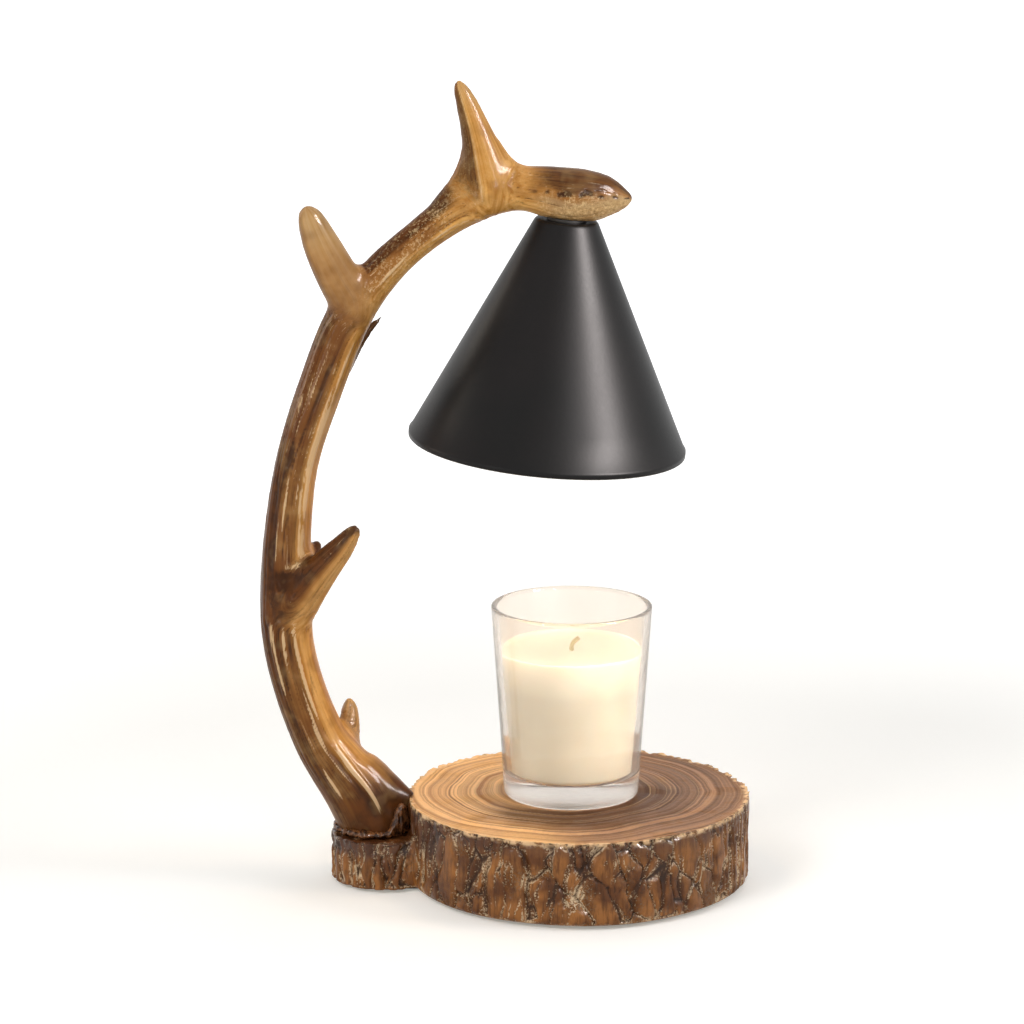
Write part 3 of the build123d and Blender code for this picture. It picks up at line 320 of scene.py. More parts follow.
for v in log.verts:
    x, y, z = v.co / MM
    around = atan2(y, x) * 180 / pi
    radius = hypot(x, y)
    from_burl = (Vector((x, y)) - burl_middle).length
    is_slice = step_up(from_burl, 23.0, 25.5) if z < burl_top + 1.5 else 1.0
    is_top = step_up(v.normal.z, 0.35, 0.8) * step_up(z, slice_top - 4, slice_top - 2)
    outside = step_up(radius, 66.5, 69) if is_slice > 0.5 else step_up(from_burl, 18, 20.5)
    outside *= step_up(z, 1.6, 3.0)
    if y > 30:
        from_knob = hypot(x, z - control_height)
        from_gland = hypot(x * sin(gland_turn) - y * cos(gland_turn), z - control_height)
        outside *= step_up(min(from_knob, from_gland), recess_clear, recess_clear + 2.5)
    from_pith = Vector((x, y)) - pith
    turn = Vector((from_pith.x, from_pith.y, 0)).normalized() if from_pith.length > 0.1 else Vector((1, 0, 0))
    grown = from_pith.length * (1 + 0.07 * noise.noise(turn * 1.6))
    grown += 1.3 * clouds(x, y, 0, 22, 3) + 0.5 * clouds(x, y, 0, 8, 7)
    depth, fissure, rough, plate = bark_depth(x, y, z, around)
    burl_band = (1 - is_slice) * step_up(z, 12.5, 17)
    burl_lumps = 0.8 + 1.5 * clouds(x, y, z, 3.6, 8) + 0.7 * clouds(x, y, z, 1.5, 6)
    depth = max(depth * (1 - burl_band) + burl_band * burl_lumps, 0.04)
    rings = 0.42 * clouds(grown, 0, 0, 2.6, 5) + 0.22 * clouds(grown, 0, 0, 1.1, 9)
    ring_depth = max(0.0, 0.42 + rings + 0.12 * clouds(x, y, 0, 1.6, 4))
    edge_near = step_up(radius + (z - slice_top), 67.5, 71.5) * step_up(z, 32.5, 35.5) * is_slice
    chips = edge_near * max(0.0, 0.35 + clouds(x, y, z, 2.6, 12) + 0.9 * clouds(x, y, 0, 7.5, 2))
    side = Vector((x, y, 0)) if is_slice > 0.5 else Vector((x - burl_middle.x, y, 0))
    side.normalize()
    over_burl = (1 - is_slice) * step_up(v.normal.z, 0.35, 0.8)
    sway = (2.2 * clouds(x, y, z, 10, 41) + 0.9 * clouds(x, y, z, 4, 43)) * outside * (1 - is_top)
    move = -side * depth * outside * (1 - is_top) * (1 - over_burl)
    move += Vector((-side.y, side.x, 0)) * sway * (1 - over_burl) * step_up(slice_top - z, 0.5, 5)
    move.z -= is_top * ring_depth * (1 - edge_near) + chips * 0.75 + over_burl * max(0.0, depth * 0.6)
    move -= side * chips * 0.8 * step_up(z, slice_top - 4, slice_top - 1)
    moves.append(move)

    # Where the bark is dark or pale; on the sawn face, a painted pool of warm lamp light on the left, a
    # darker pool round the jar and painted shade on the right.
    v[layers["fissure"]] = fissure * outside
    v[layers["rough"]] = rough * (1 - burl_band)
    v[layers["plate"]] = plate
    v[layers["sawn"]] = is_top
    v[layers["grown"]] = grown
    on_rim = step_up(radius + 0.6 * clouds(x, y, 0, 3, 17), 69.3, 70.9)
    v[layers["rim"]] = on_rim * step_up(z, 34.6, 36.4) * is_slice
    joint_stain = step_up(-x, 50, 60) * step_up(-y, -22, -8) * step_up(z, 13, 24) * is_slice * (1 - is_top)
    # Painted lamp light: the left of the sawn face is painted warmer and paler.
    v[layers["sun"]] = step_up(-x + 0.25 * abs(y) + 6 * clouds(x, y, 0, 26, 9), 4, 42)
    # A darker pool round the jar, deepest towards the front, and painted shade on the right of the sawn face.
    near_jar = step_up(-hypot(x + 3, y + 4) + 5 * clouds(x, y, 0, 12, 15), -56, -33)
    v[layers["umber"]] = near_jar * (0.25 + 0.75 * step_up(-y + 0.5 * x, -14, 22)) + 0.3 * step_up(x, 18, 50)
    top_stain = 0.7 * step_up(z + 2.5 * clouds(x, y, 0, 8, 6), 28.5, 34) * (1 - is_top)
    v[layers["stain"]] = max(burl_band, joint_stain, top_stain)
for v, move in zip(log.verts, moves):
    v.co += move * MM
log.normal_update()

bark = Finish("bark_resin", Coat_Roughness=0.09, Coat_IOR=1.4, Specular_IOR_Level=0.12)
here = bark.place()
fissure = bark.read("fissure")
rough = bark.read("rough")
sawn = bark.read("sawn")
stain = bark.read("stain")
grown = bark.read("grown")
sun = bark.read("sun")
umber = bark.read("umber")
fine = bark.speckle(here, 1900, 3, 0.6)
dots = bark.speckle(here, 1150, 2, 0.7)
upright = bark.speckle(bark.scaled(here, 1, 1, 0.16), 620, 4, 0.62)
patches = bark.speckle(here, 95, 3, 0.5)
bark_colour = bark.blend(patches.limit(0.36, 0.62), linear(98, 57, 25), linear(160, 104, 52))
bark_colour = bark.blend(bark.read("plate") * 0.5, bark_colour, linear(82, 48, 24))
bark_colour = bark.blend(upright.limit(0.46, 0.64) * 0.6, bark_colour, linear(58, 31, 13))
bark_colour = bark.blend(rough * dots.limit(0.4, 0.6) * 0.6, bark_colour, linear(66, 39, 20))
bark_colour = bark.blend(stain * (patches * 0.5 + 0.5) * 0.92, bark_colour, linear(62, 31, 17))
bark_colour = bark.blend(fissure.limit(0.15, 0.8) * 0.92, bark_colour, linear(40, 22, 10))
lips = fissure.limit(0.08, 0.3) - fissure.limit(0.45, 0.75)
flecks = (lips * 0.65 + rough * 0.1) * (dots * 0.6 + patches * 0.5).limit(0.55, 0.63) * (stain * -0.3 + 1)
bark_colour = bark.blend(flecks.limit(0, 0.9), bark_colour, linear(226, 200, 162))
ring_line = bark.node("ShaderNodeCombineXYZ", sockets={0: grown, 1: 0.0, 2: 0.0})
bands = bark.speckle(ring_line, 0.3, 3, 0.66)
threads = bark.speckle(ring_line, 0.62, 3, 0.66)
wood = bark.blend(bands.limit(0.38, 0.6), linear(100, 66, 42), linear(182, 136, 100))
# A warm, pale copy of the sawn face's colours, for the painted lamp light on its left.
painted_light_wood = bark.blend(bands.limit(0.36, 0.58), linear(178, 114, 58), linear(252, 202, 140))
wood = bark.blend((sun + (patches - 0.5) * 0.8).limit(0, 1), wood, painted_light_wood)
# The darker pool round the jar, and the painted shade on the right of the sawn face.
pool = (umber + (patches - 0.5) * 0.6 + (bands - 0.5) * -1.2).limit(0, 1)
wood = bark.blend(pool * 0.85, wood, linear(78, 48, 27))
wood = bark.blend(threads.limit(0.56, 0.68) * 0.5, wood, linear(248, 208, 150))
wood = bark.blend((threads * -1 + 1).limit(0.56, 0.68) * 0.7, wood, linear(72, 41, 22))
wood = bark.blend(fine.limit(0.55, 0.75) * 0.25, wood, linear(82, 50, 28))
colour = bark.blend(sawn, bark_colour, wood)
rim_cream = bark.read("rim") * bark.speckle(here, 330, 3, 0.6).limit(0.42, 0.54)
colour = bark.blend(rim_cream.limit(0, 1) * 0.9, colour, linear(238, 200, 152))
grain_height = fine * 0.5 + dots * rough * 1.5 + upright * 0.8
bark.set(
    Base_Color=colour,
    Roughness=(rough * 0.25 + sawn * 0.2 + fine * 0.2 + fissure * 0.15 + 0.2).limit(0, 1),
    Coat_Weight=(stain * 0.35 + 0.3 - rough * 0.15 - sawn * 0.24).limit(0, 1),
    Normal=bark.bump(grain_height, 0.00022, 0.8),
)
finish_piece(log, "log_slice", "base", bark.material, ["stump_base", "burl_base"])


# Dimmer, cord gland and wiring: a bought dimmer behind the bark with a fluted black knob on its shaft,
# a black nylon gland beside it, and inside the hollow a white terminal block with brass poles.
# The knob is turned here with its grip flutes, and the rest keeps its CAD shape.
def turned(profile, steps, flute=None, closed=False):
    """Turns (radius, height) points in mm about Z: a solid from axis to axis or, closed, a ring."""
    mesh = bmesh.new()
    points = [mesh.verts.new((radius * MM, 0, height * MM)) for radius, height in profile]
    pairs = zip(points[-1:] + points, points) if closed else zip(points, points[1:])
    edges = [mesh.edges.new(pair) for pair in pairs]
    bmesh.ops.spin(
        mesh, geom=points + edges, cent=(0, 0, 0), axis=(0, 0, 1), angle=2 * pi, steps=steps, use_merge=True,
    )
    bmesh.ops.remove_doubles(mesh, verts=mesh.verts, dist=1e-7)
    if flute:
        for v in mesh.verts:
            v.co.xy *= flute(v.co.xy.length / MM, v.co.z / MM, atan2(v.co.y, v.co.x))
    bmesh.ops.recalc_face_normals(mesh, faces=mesh.faces)
    return mesh


def aimed(mesh, origin, axis, first):
    """Moves a mesh so that its Z runs along the axis from the origin in mm, with its X along first."""
    along = Vector(axis).normalized()
    second = along.cross(Vector(first)).normalized()
    turn = Matrix((second.cross(along), second, along)).transposed().to_4x4()
    mesh.transform(Matrix.Translation(Vector(origin) * MM) @ turn)
    return mesh


knob_flutes = 24


def knob_flute(radius, height, angle):
    """How much of its radius a point keeps between the knob's ribs."""
    depth = 0.045 * step_up(radius, 6.5, 8.2) * step_up(height, 2.6, 3.4) * step_up(-height, -10.4, -9.6)
    return 1 - depth * abs(sin(knob_flutes / 2 * angle)) ** 0.5


knob_root = Vector((0, 66.6, control_height))
knob_profile = [
    (0, 0.05), (8.6, 0.05), (8.95, 0.4), (9.0, 1.2), (9.0, 2.5), (8.75, 2.9), (8.65, 3.4), (8.6, 5.0),
    (8.5, 7.0), (8.42, 9.0), (8.3, 10.0), (7.9, 10.7), (7.3, 10.95), (5.0, 10.9), (4.4, 10.7), (0, 10.6),
]
knob = aimed(turned(knob_profile, 192, knob_flute), knob_root, (0, 1, 0), (0, 0, 1))
black_plastic = grained("black_plastic", linear(24, 24, 25), linear(40, 39, 39), 0.0005, 0.5, 0.00006)
knob_finish = grained("knob_plastic", linear(24, 24, 25), linear(40, 39, 39), 0.0004, 0.45, 0.00005)
on_line = (knob_finish.along(0).calc("ABSOLUTE") * -1 + 0.0006).limit(0, 0.0001)
on_line = on_line * (knob_finish.along(1) - (knob_root.y + 9.9) * MM).limit(0, 0.0005)
on_line = on_line * (knob_finish.along(2) - (knob_root.z + 2.5) * MM).limit(0, 0.0002)
black = knob_finish.shader.inputs["Base Color"].links[0].from_socket
knob_finish.set(Base_Color=knob_finish.blend(on_line, Wire(knob_finish, black), linear(225, 224, 220)))
finish_piece(knob, "fluted_knob", "knob", knob_finish.material, ["dimmer_knob"])

brass = grained("brass", linear(150, 112, 50), linear(214, 172, 96), 0.0012, 0.3, 0.00002, Metallic=1.0)
shaft_metal = grained(
    "shaft_metal", linear(150, 151, 153), linear(208, 208, 210), 0.0006, 0.3, 0.00002, (1, 6, 1),
    Metallic=1.0,
)
white_plastic = grained("white_plastic", linear(206, 204, 196), linear(232, 230, 224), 0.001, 0.45, 0.00004)
circuit = grained("circuit_board", linear(10, 62, 32), linear(24, 96, 50), 0.003, 0.35, 0.00003)
lead_brown = grained("lead_brown", linear(88, 50, 28), linear(118, 70, 42), 0.001, 0.4, 0.00003)
lead_blue = grained("lead_blue", linear(34, 74, 140), linear(56, 102, 176), 0.001, 0.4, 0.00003)
lead_black = grained("lead_black", linear(26, 26, 27), linear(44, 43, 43), 0.001, 0.4, 0.00003)
dress(black_plastic, "dimmer_body", "cord_gland")
dress(zinc, "dimmer_nut", "gland_nut", "terminal_screws", "block_screw")
dress(shaft_metal, "dimmer_shaft")
dress(brass, "terminal_poles")
dress(white_plastic, "terminal_block")
dress(circuit, "dimmer_board")
dress(lead_brown, "lead_live")
dress(lead_blue, "lead_neutral")
dress(lead_black, "board_leads")


# Antler arm: one casting in tan resin round a steel conduit, with six tines. Long ridges and grooves
# follow the beam. An umber wash lies in the grooves and along the top and outer side, cream paint is
# dry-brushed on the ridges, a pale painted highlight runs along the crest's keel, and everything is
# lacquered. Stations are mm from the burl's top.
beam_stations = [
    (-3.5, 0, -8, 12.6), (-6.5, 0, 4, 14.2), (-12, 0, 16, 14.2), (-21.5, 0, 29, 12.4),
    (-27.8, 0, 39, 11.3), (-35.2, 0, 58, 10.8), (-40.2, 0, 78, 10.7), (-41.5, 0, 98, 10.9),
    (-40.3, 0, 128, 9.9), (-36, 0, 158, 9.0), (-26.5, 0, 188, 9.4), (-15, 0, 217, 9.4),
    (-1.5, 0, 236, 8.1), (14.5, 0, 251, 7.4), (34.5, 0, 265, 8.6), (55.5, 0, 271.5, 9.0),
    (77, 0, 268.6, 11.6), (89.5, 0, 268.4, 9.4), (97.5, 0, 267.6, 5.2), (102.2, 0, 267.3, 1.4),
]
tines = {
    "crest": [
        (44, 0, 270, 10.8), (42, 0, 280, 9.8), (39.9, 0, 289, 7.7), (37.3, 0, 298, 5.9), (33.8, 0, 308, 4.3),
        (31.3, 0, 314, 2.6), (30.5, 0, 316, 1.0),
    ],
    "brow": [
        (-11.5, 0, 224, 9.8), (-18, -4.5, 235.5, 8.9), (-24.5, -9, 249.5, 7.7), (-28.5, -12, 260, 5.8),
        (-30.3, -13, 264.8, 3.7), (-30.8, -13.3, 266.5, 1.4),
    ],
    "bay": [
        (-38.5, -2, 95, 9.4), (-32.5, -6, 105, 8.5), (-23.5, -10.5, 117, 6.5), (-17.7, -13, 124, 5.2),
        (-12.8, -15.3, 131, 3.4), (-10.8, -16.2, 134, 1.6),
    ],
    "knob": [(-33.5, 3, 112, 5), (-30, 7, 118.5, 3.4), (-28.1, 8.6, 121, 2.2), (-27.5, 9.2, 122.2, 0.9)],
    "rear": [
        (-27, 3, 181, 4.5), (-18, 7, 194, 3.7), (-10.5, 10, 206, 2.6), (-3.5, 11.5, 214.2, 1.5),
        (-0.6, 12, 216.8, 0.8),
    ],
    "foot": [
        (-19.5, 4, 28, 7.5), (-16.5, 9, 38, 5.4), (-15.8, 11.5, 46, 4.2), (-15.9, 12.5, 51, 2.8),
        (-16.1, 12.8, 53.6, 1),
    ],
}
webs = [
    [
        (36.2, 0, 290, 3.6), (35.2, 0, 281, 4.8), (32.2, 0, 272.6, 5.7), (26.5, 0, 264.4, 6.2),
        (21, 0, 258, 5.5),
    ],
    [(44.2, 0, 290, 4.0), (48.4, 0, 281.6, 5.2), (54.6, 0, 276.3, 5.6), (63, 0, 273.4, 6.6)],
    [
        (-12, 0, 22, 12), (-4, -1, 17, 10.6), (2.5, -2, 14.8, 8.2), (8, -3, 13.8, 5.0),
        (11.8, -3.5, 13.4, 2.6),
    ],
    [(-6.5, 0, 0, 13), (-4, -1, 5, 12.6), (-1, -1.5, 9, 11.2), (1.5, -2, 12, 9)],
]
root = Vector((burl_middle.x, 0, burl_top))
horn_step = 1.5
antler_voxel = 1.31 * MM
head_gap = 1.0
foot_clear = 70.8
rearward = Vector((0, 1, 0))
head_axis = Vector((sin(radians(-4.8)), sin(radians(2)), -1)).normalized()
head_top = root + Vector((75.1, 0, 259))


def smooth_route(stations):
    """Rings at an even step through the stations: place, run, radius and the length so far, in mm."""
    points = [root + Vector(s[:3]) for s in stations]
    radii = [s[3] for s in stations]
    route = []
    for i in range(len(points) - 1):
        before, after = max(i - 1, 0), min(i + 2, len(points) - 1)
        steps = max(1, round((points[i + 1] - points[i]).length / horn_step))
        for step in range(steps):
            t = step / steps
            leave, reach = (1 + 2 * t) * (1 - t) ** 2, t * t * (3 - 2 * t)
            push, pull = t * (1 - t) ** 2 / 2, t * t * (t - 1) / 2
            place, radius = (
                leave * v[i] + reach * v[i + 1] + push * (v[i + 1] - v[before]) + pull * (v[after] - v[i])
                for v in (points, radii)
            )
            route.append([place, None, max(radius, 0.5), 0.0])
    route.append([points[-1], None, radii[-1], 0.0])
    for i, ring in enumerate(route):
        before, after = route[max(i - 1, 0)], route[min(i + 1, len(route) - 1)]
        ring[1] = (after[0] - before[0]).normalized()
        ring[3] = before[3] + (ring[0] - before[0]).length
    return route


def ring_frame(place, run, radius):
    """The matrix that puts a unit circle square to the run, in metres."""
    outer = run.cross(rearward).normalized()
    turn = Matrix((outer, outer.cross(run), run)).transposed().to_4x4()
    return Matrix.Translation(place * MM) @ turn @ Matrix.Scale(radius * MM, 4)


def grow_horn(mesh, route, sides=36):
    """A closed horn: a disc extruded from ring to ring."""
    now = ring_frame(*route[0][:3])
    made = bmesh.ops.create_circle(mesh, cap_ends=True, segments=sides, radius=1, matrix=now)
    disc = made["verts"][0].link_faces[0]
    start = disc
    for ring in route[1:]:
        after = ring_frame(*ring[:3])
        moved = bmesh.ops.extrude_face_region(mesh, geom=[disc])["geom"]
        disc = next(g for g in moved if isinstance(g, bmesh.types.BMFace))
        bmesh.ops.transform(mesh, matrix=after @ now.inverted(), verts=disc.verts[:])
        now = after
    return start


routes = [smooth_route(stations) for stations in [beam_stations, *tines.values()]]
antler = bmesh.new()
for route in routes + [smooth_route(stations) for stations in webs]:
    grow_horn(antler, route)
bmesh.ops.recalc_face_normals(antler, faces=antler.faces)
antler = voxel_skin(antler, antler_voxel)
trees = []
for route in routes:
    tree = KDTree(len(route))
    for i, ring in enumerate(route):
        tree.insert(ring[0] * MM, i)
    tree.balance()
    trees.append(tree)


def shares(place):
    """How much of a point belongs to each horn, with its nearest ring there."""
    found = []
    for route, tree in zip(routes, trees):
        _, i, distance = tree.find(place)
        found.append((route[i], (route[i][2] * MM / max(distance, 1e-6)) ** 8))
    total = sum(share for _, share in found)
    return [(ring, share / total) for ring, share in found]


def on_horns(place):
    """A point's share of each horn, then its place on them: round and along, outwards, backwards, radius."""
    parts = shares(place)
    wrapped = Vector((0, 0, 0))
    outer_side = back_side = radius = 0.0
    for number, (ring, share) in enumerate(parts):
        if share < 0.002:
            continue
        off = place / MM - ring[0]
        outer = ring[1].cross(rearward).normalized()
        sideways = Vector((off.dot(outer), off.dot(outer.cross(ring[1]))))
        sideways = sideways.normalized() if sideways.length > 0.01 else Vector((1, 0))
        wrapped += share * Vector((sideways.x * 10 + number * 3, sideways.y * 10, ring[3] + number * 40))
        outer_side += share * sideways.x
        back_side += share * sideways.y
        radius += share * ring[2]
    return [share for _, share in parts], wrapped, outer_side, back_side, radius


# Where two horns meet, only the hollows are smoothed, until each joint is a wide fillet. Then every
# face is cut in four, for the detail that follows.
passes = (0, 90, 90, 70, 24, 16, 40)
joints = []
for v in antler.verts:
    parts = [share for _, share in shares(v.co)]
    if max(parts) < 0.999:
        tine_share = max(parts[1:])
        joints.append((v, passes[parts.index(tine_share)]))
for turn in range(max(passes)):
    if turn % 10 == 0:
        active = [v for v, most in joints if most > turn]
    before = [v.co.copy() for v in active]
    smooth(antler, active, 1)
    antler.normal_update()
    for v, old in zip(active, before):
        if (v.co - old).dot(v.normal) < 0:
            v.co = old
smooth(antler, antler.verts, 4)
bmesh.ops.subdivide_edges(antler, edges=antler.edges[:], cuts=1, use_grid_fill=True, smooth=0.6)
smooth(antler, antler.verts, 2)

# Creases on the beam: where a ridge starts and ends (mm up), and its angle from the front, + outwards.
creases = [
    (42, 118, 4), (38, 104, -9), (30, 92, 17), (64, 120, -20), (70, 122, 30), (26, 66, -26),
    (131, 236, -38), (128, 222, -27), (134, 205, -12), (130, 196, 2), (131, 186, 14), (128, 178, 27),
    (168, 232, -18),
    (243, 285, 22), (240, 286, 6), (246, 288, -12), (236, 276, 38), (262, 292, -30),
]


def crease_height(angle, height, radius):
    """The painted ridge, the wider cast ridge and the groove of the nearest crease, each 0 to 1."""
    ridge = cast = groove = 0.0
    for start, end, middle in creases:
        fade = step_up(height, start, start + 14) * step_up(-height, -end, 14 - end)
        if fade > 0:
            wander = middle + 5 * noise.noise(Vector((height / 26, middle, 0)))
            off = radians(angle - wander) * radius
            ridge = max(ridge, fade * exp(-((off / 0.95) ** 2)))
            cast = max(cast, fade * exp(-((off / 1.6) ** 2)))
            groove = max(groove, fade * exp(-(((off - 2.6) / 1.4) ** 2)))
    return ridge, cast, groove


names = ("relief", "dark", "amber", "pale", "stipple")
layers = {name: antler.verts.layers.float.new(name) for name in names}
wrap = antler.verts.layers.float_vector.new("wrap")
antler.normal_update()
moves = []
for v in antler.verts:
    horns, wrapped, outer_side, back_side, radius = on_horns(v.co)
    beam, crest, brow, bay, knob, rear, foot = horns
    x, y, z = v.co / MM
    broad = noise.noise(Vector((wrapped.x * 0.17, wrapped.y * 0.17, wrapped.z * 0.014)))
    line = noise.noise(Vector((wrapped.x * 0.36 + 7, wrapped.y * 0.36, wrapped.z * 0.013)))
    thin = noise.noise(Vector((wrapped.x * 0.85, wrapped.y * 0.85 + 5, wrapped.z * 0.03)))
    grain = noise.noise(Vector((wrapped.x * 1.9, wrapped.y * 1.9, wrapped.z * 0.09)))
    pores = noise.noise(Vector((x, y, z)) * 0.75)
    angle = atan2(outer_side, -back_side) * 180 / pi
    beak = beam * step_up(x, -24, -6)
    ridge, cast, groove = (beam * (x < -30) * part for part in crease_height(angle, z, radius))
    face = step_up(-back_side, 0.05, 0.6)
    wild = beam * (0.35 + 0.65 * face) * (1 - 0.5 * step_up(-outer_side, 0.45, 0.9))
    wild += 0.9 * bay + 0.9 * foot + 0.3 * rear
    wild *= step_up(z, 30, 62) * 0.85 + 0.15
    furrow = max(0.0, 1 - abs(line) / 0.12)
    rib = max(0.0, 1 - abs(thin) / 0.2)
    height = wild * (0.5 * broad - 0.5 * furrow + 0.16 * rib) + 0.06 * grain * wild
    height += 0.65 * cast - 0.55 * groove
    keel_and_highlight = crest * face * exp(-(((outer_side - 0.3) / 0.07) ** 2))
    height += 0.45 * keel_and_highlight
    pit = exp(-(((x + 121) / 5.6) ** 2) - (((z - 131.5) / 3.8) ** 2)) * step_up(-y, -1, 3)
    lip = exp(-(((x + 118) / 3.0) ** 2) - (((z - 138 - 0.3 * (x + 117)) / 1.5) ** 2)) * step_up(-y, -1, 3)
    height += 1.0 * lip - 2.3 * pit
    from_crack = abs(outer_side - 0.16 - 0.3 * noise.noise(Vector((x * 0.16, 0, 3))))
    crack = beak * (1 - step_up(from_crack, 0.03, 0.14))
    crack *= step_up(noise.noise(Vector((x * 0.22, 5, 0))), -0.25, 0.1)
    rough_low = beak * step_up(-outer_side, 0.2, 0.75)
    height += beak * 0.06 * pores - 0.4 * crack + rough_low * 0.3 * noise.noise(Vector((x, y, z)) * 0.45)
    moves.append(v.normal * height)

    # The umber wash, the amber and cream paint and the stippled dots, each where the brush was, and the
    # painted highlight along the crest's keel.
    over = step_up(z, 236, 262) * step_up(-x, 46, 58) * beam
    low = step_up(-z, -112, -80)
    outer_dark = (0.72 + 0.1 * (1 - low)) * step_up(outer_side, -0.15, 0.6)
    front_dark = 0.5 * face * step_up(outer_side, -0.55, -0.2) * (1 - 0.6 * over)
    top_dark = over * step_up(outer_side, 0.2, 0.62)
    beak_line = outer_side + 0.25 * noise.noise(Vector((x * 0.12, 0, 8))) - 0.45 * step_up(x, 5, 18)
    top_dark += 0.8 * beak * step_up(x, -42, -16) * step_up(beak_line, 0.05, 0.4)
    caramel = step_up(z, 262, 275) * step_up(x, -64, -50) * (1 - beak)
    dark = beam * (max(outer_dark, front_dark) * (1 - caramel) * (1 - over) * (1 - beak) + top_dark)
    dark += bay * (0.95 * step_up(outer_side, -0.2, 0.35) + step_up(z, 151, 156))
    dark += rear * 0.7 + 0.2 * foot + knob
    dark += crest * 0.85 * step_up(outer_side, 0.26, 0.44) + brow * 0.4 * step_up(outer_side, 0.4, 0.85)
    ankle = beam * step_up(-z, -60, -34)
    dark = dark * (1 - 0.6 * ankle) + ankle * (0.45 + 0.6 * step_up(x, -98, -85))
    v[layers["dark"]] = min(max(dark + 1.0 * pit + 0.75 * crack, 0.0), 1.0)
    amber = beam * step_up(-outer_side, 0.1, 0.6) * (1 - beak) * (1 - ankle)
    amber += 0.7 * caramel + 0.7 * crest + 0.9 * bay * step_up(-outer_side, -0.1, 0.4)
    v[layers["amber"]] = amber
    # The pale line on the crest's keel is a painted highlight.
    pale = brow * (0.35 + 0.6 * step_up(z, 262, 284)) + foot * 0.75 + rear * 0.25 + 0.7 * keel_and_highlight
    pale += crest * 0.7 * step_up(z, 324, 337) * step_up(-outer_side, -0.4, -0.26)
    pale += bay * 0.5 * step_up(-outer_side, 0.1, 0.6) + beak * 0.95 * step_up(-beak_line, -0.1, 0.3)
    v[layers["pale"]] = min(pale + 0.9 * lip, 1.0)
    v[layers["stipple"]] = max(
        beak * step_up(-outer_side, -0.4, 0.1), 0.7 * over * face, 0.6 * lip, 0.15 * caramel * face,
    )
    painted = wild * (0.35 * broad - 0.7 * furrow + 0.35 * rib + 0.3 * grain)
    painted += 0.9 * ridge - 0.8 * groove - 1.3 * pit + 1.2 * lip + 0.5 * keel_and_highlight - 1.3 * crack
    v[layers["relief"]] = painted
    v[wrap] = wrapped
for v, move in zip(antler.verts, moves):
    v.co += move * MM
smooth(antler, antler.verts, 1)
for v in antler.verts:
    place = v.co / MM
    below = (place - head_top).dot(head_axis)
    from_axis = (place - head_top - head_axis * below).length
    if below > -head_gap and from_axis < 16 and place.z > 200:
        place -= head_axis * (below + head_gap)
    if place.z < slice_top + 0.4 and place.xy.length < foot_clear:
        place.xy = place.xy.normalized() * foot_clear
    v.co = place * MM
whole = antler.verts[:] + antler.edges[:] + antler.faces[:]
bmesh.ops.bisect_plane(antler, geom=whole, plane_co=root * MM, plane_no=(0, 0, -1), clear_outer=True)
bmesh.ops.holes_fill(antler, edges=[e for e in antler.edges if e.is_boundary], sides=0)
antler.normal_update()

resin = Finish("antler_resin", Coat_Roughness=0.12, Coat_IOR=1.4, Specular_IOR_Level=0.06)
wrapped = resin.read("wrap", 1)
here = resin.place()
streak = resin.speckle(resin.scaled(wrapped, 0.42, 0.42, 0.018), 1.0, 4, 0.6)
fine_streak = resin.speckle(resin.scaled(wrapped, 1.5, 1.5, 0.055), 1.0, 4, 0.65)
cloud = resin.speckle(here, 60, 3, 0.55)
dots = resin.speckle(here, 750, 3, 0.75)
relief = resin.read("relief")
dark = resin.read("dark")
stipple = resin.read("stipple")
colour = resin.blend(cloud.limit(0.35, 0.65), linear(134, 84, 38), linear(170, 117, 60))
amber = resin.blend(streak.limit(0.35, 0.62), linear(182, 120, 46), linear(222, 167, 92))
colour = resin.blend(resin.read("amber") * 0.85, colour, amber)
cream = resin.blend(streak.limit(0.3, 0.7), linear(186, 142, 84), linear(214, 180, 130))
colour = resin.blend(resin.read("pale") * 0.85, colour, cream)
umber = resin.blend(cloud.limit(0.4, 0.6), linear(86, 46, 17), linear(54, 26, 10))
wash = (dark * 1.25 + (streak - 0.5) * 1.1 + (fine_streak - 0.5) * 0.8 - 0.1).limit(0.0, 1.0)
colour = resin.blend(wash * 0.92, colour, umber)
deep = (relief * -1.1 + dark * 0.35 + (fine_streak - 0.5) * 0.8 - 0.32).limit(0.0, 0.6)
colour = resin.blend(deep * 0.72, colour, linear(50, 27, 12))
mottle = resin.speckle(here, 120, 2, 0.5)
colour = resin.blend(mottle.limit(0.52, 0.7) * 0.12, colour, linear(218, 176, 118))
colour = resin.blend((mottle * -1 + 1).limit(0.5, 0.68) * 0.3, colour, linear(112, 66, 26))
brushed = (relief * 1.2 + (fine_streak - 0.5) * 1.4 + (mottle - 0.5) * 0.5 - 0.42).limit(0.0, 0.35)
colour = resin.blend(brushed * 0.7, colour, linear(230, 196, 150))
freckle = stipple * dots.limit(0.52, 0.6) * mottle.limit(0.35, 0.55)
colour = resin.blend(freckle * 0.65, colour, linear(232, 200, 146))
colour = resin.blend(stipple * (dots * -1 + 1).limit(0.56, 0.66) * 0.4, colour, linear(74, 42, 18))
resin.set(
    Base_Color=colour,
    Roughness=(cloud * 0.2 + fine_streak * 0.25 + stipple * 0.15 + 0.12).limit(0, 1),
    Coat_Weight=(dark * -0.08 + 0.22 - stipple * 0.08).limit(0, 1),
    Normal=resin.bump(fine_streak * 0.5 + dots * (stipple * 0.6 + 0.02), 0.0002, 0.5),
)
finish_piece(antler, "antler_casting", "base", resin.material, ["antler_arm"])
dress(zinc, "arm_conduit", "root_washer", "root_nut")


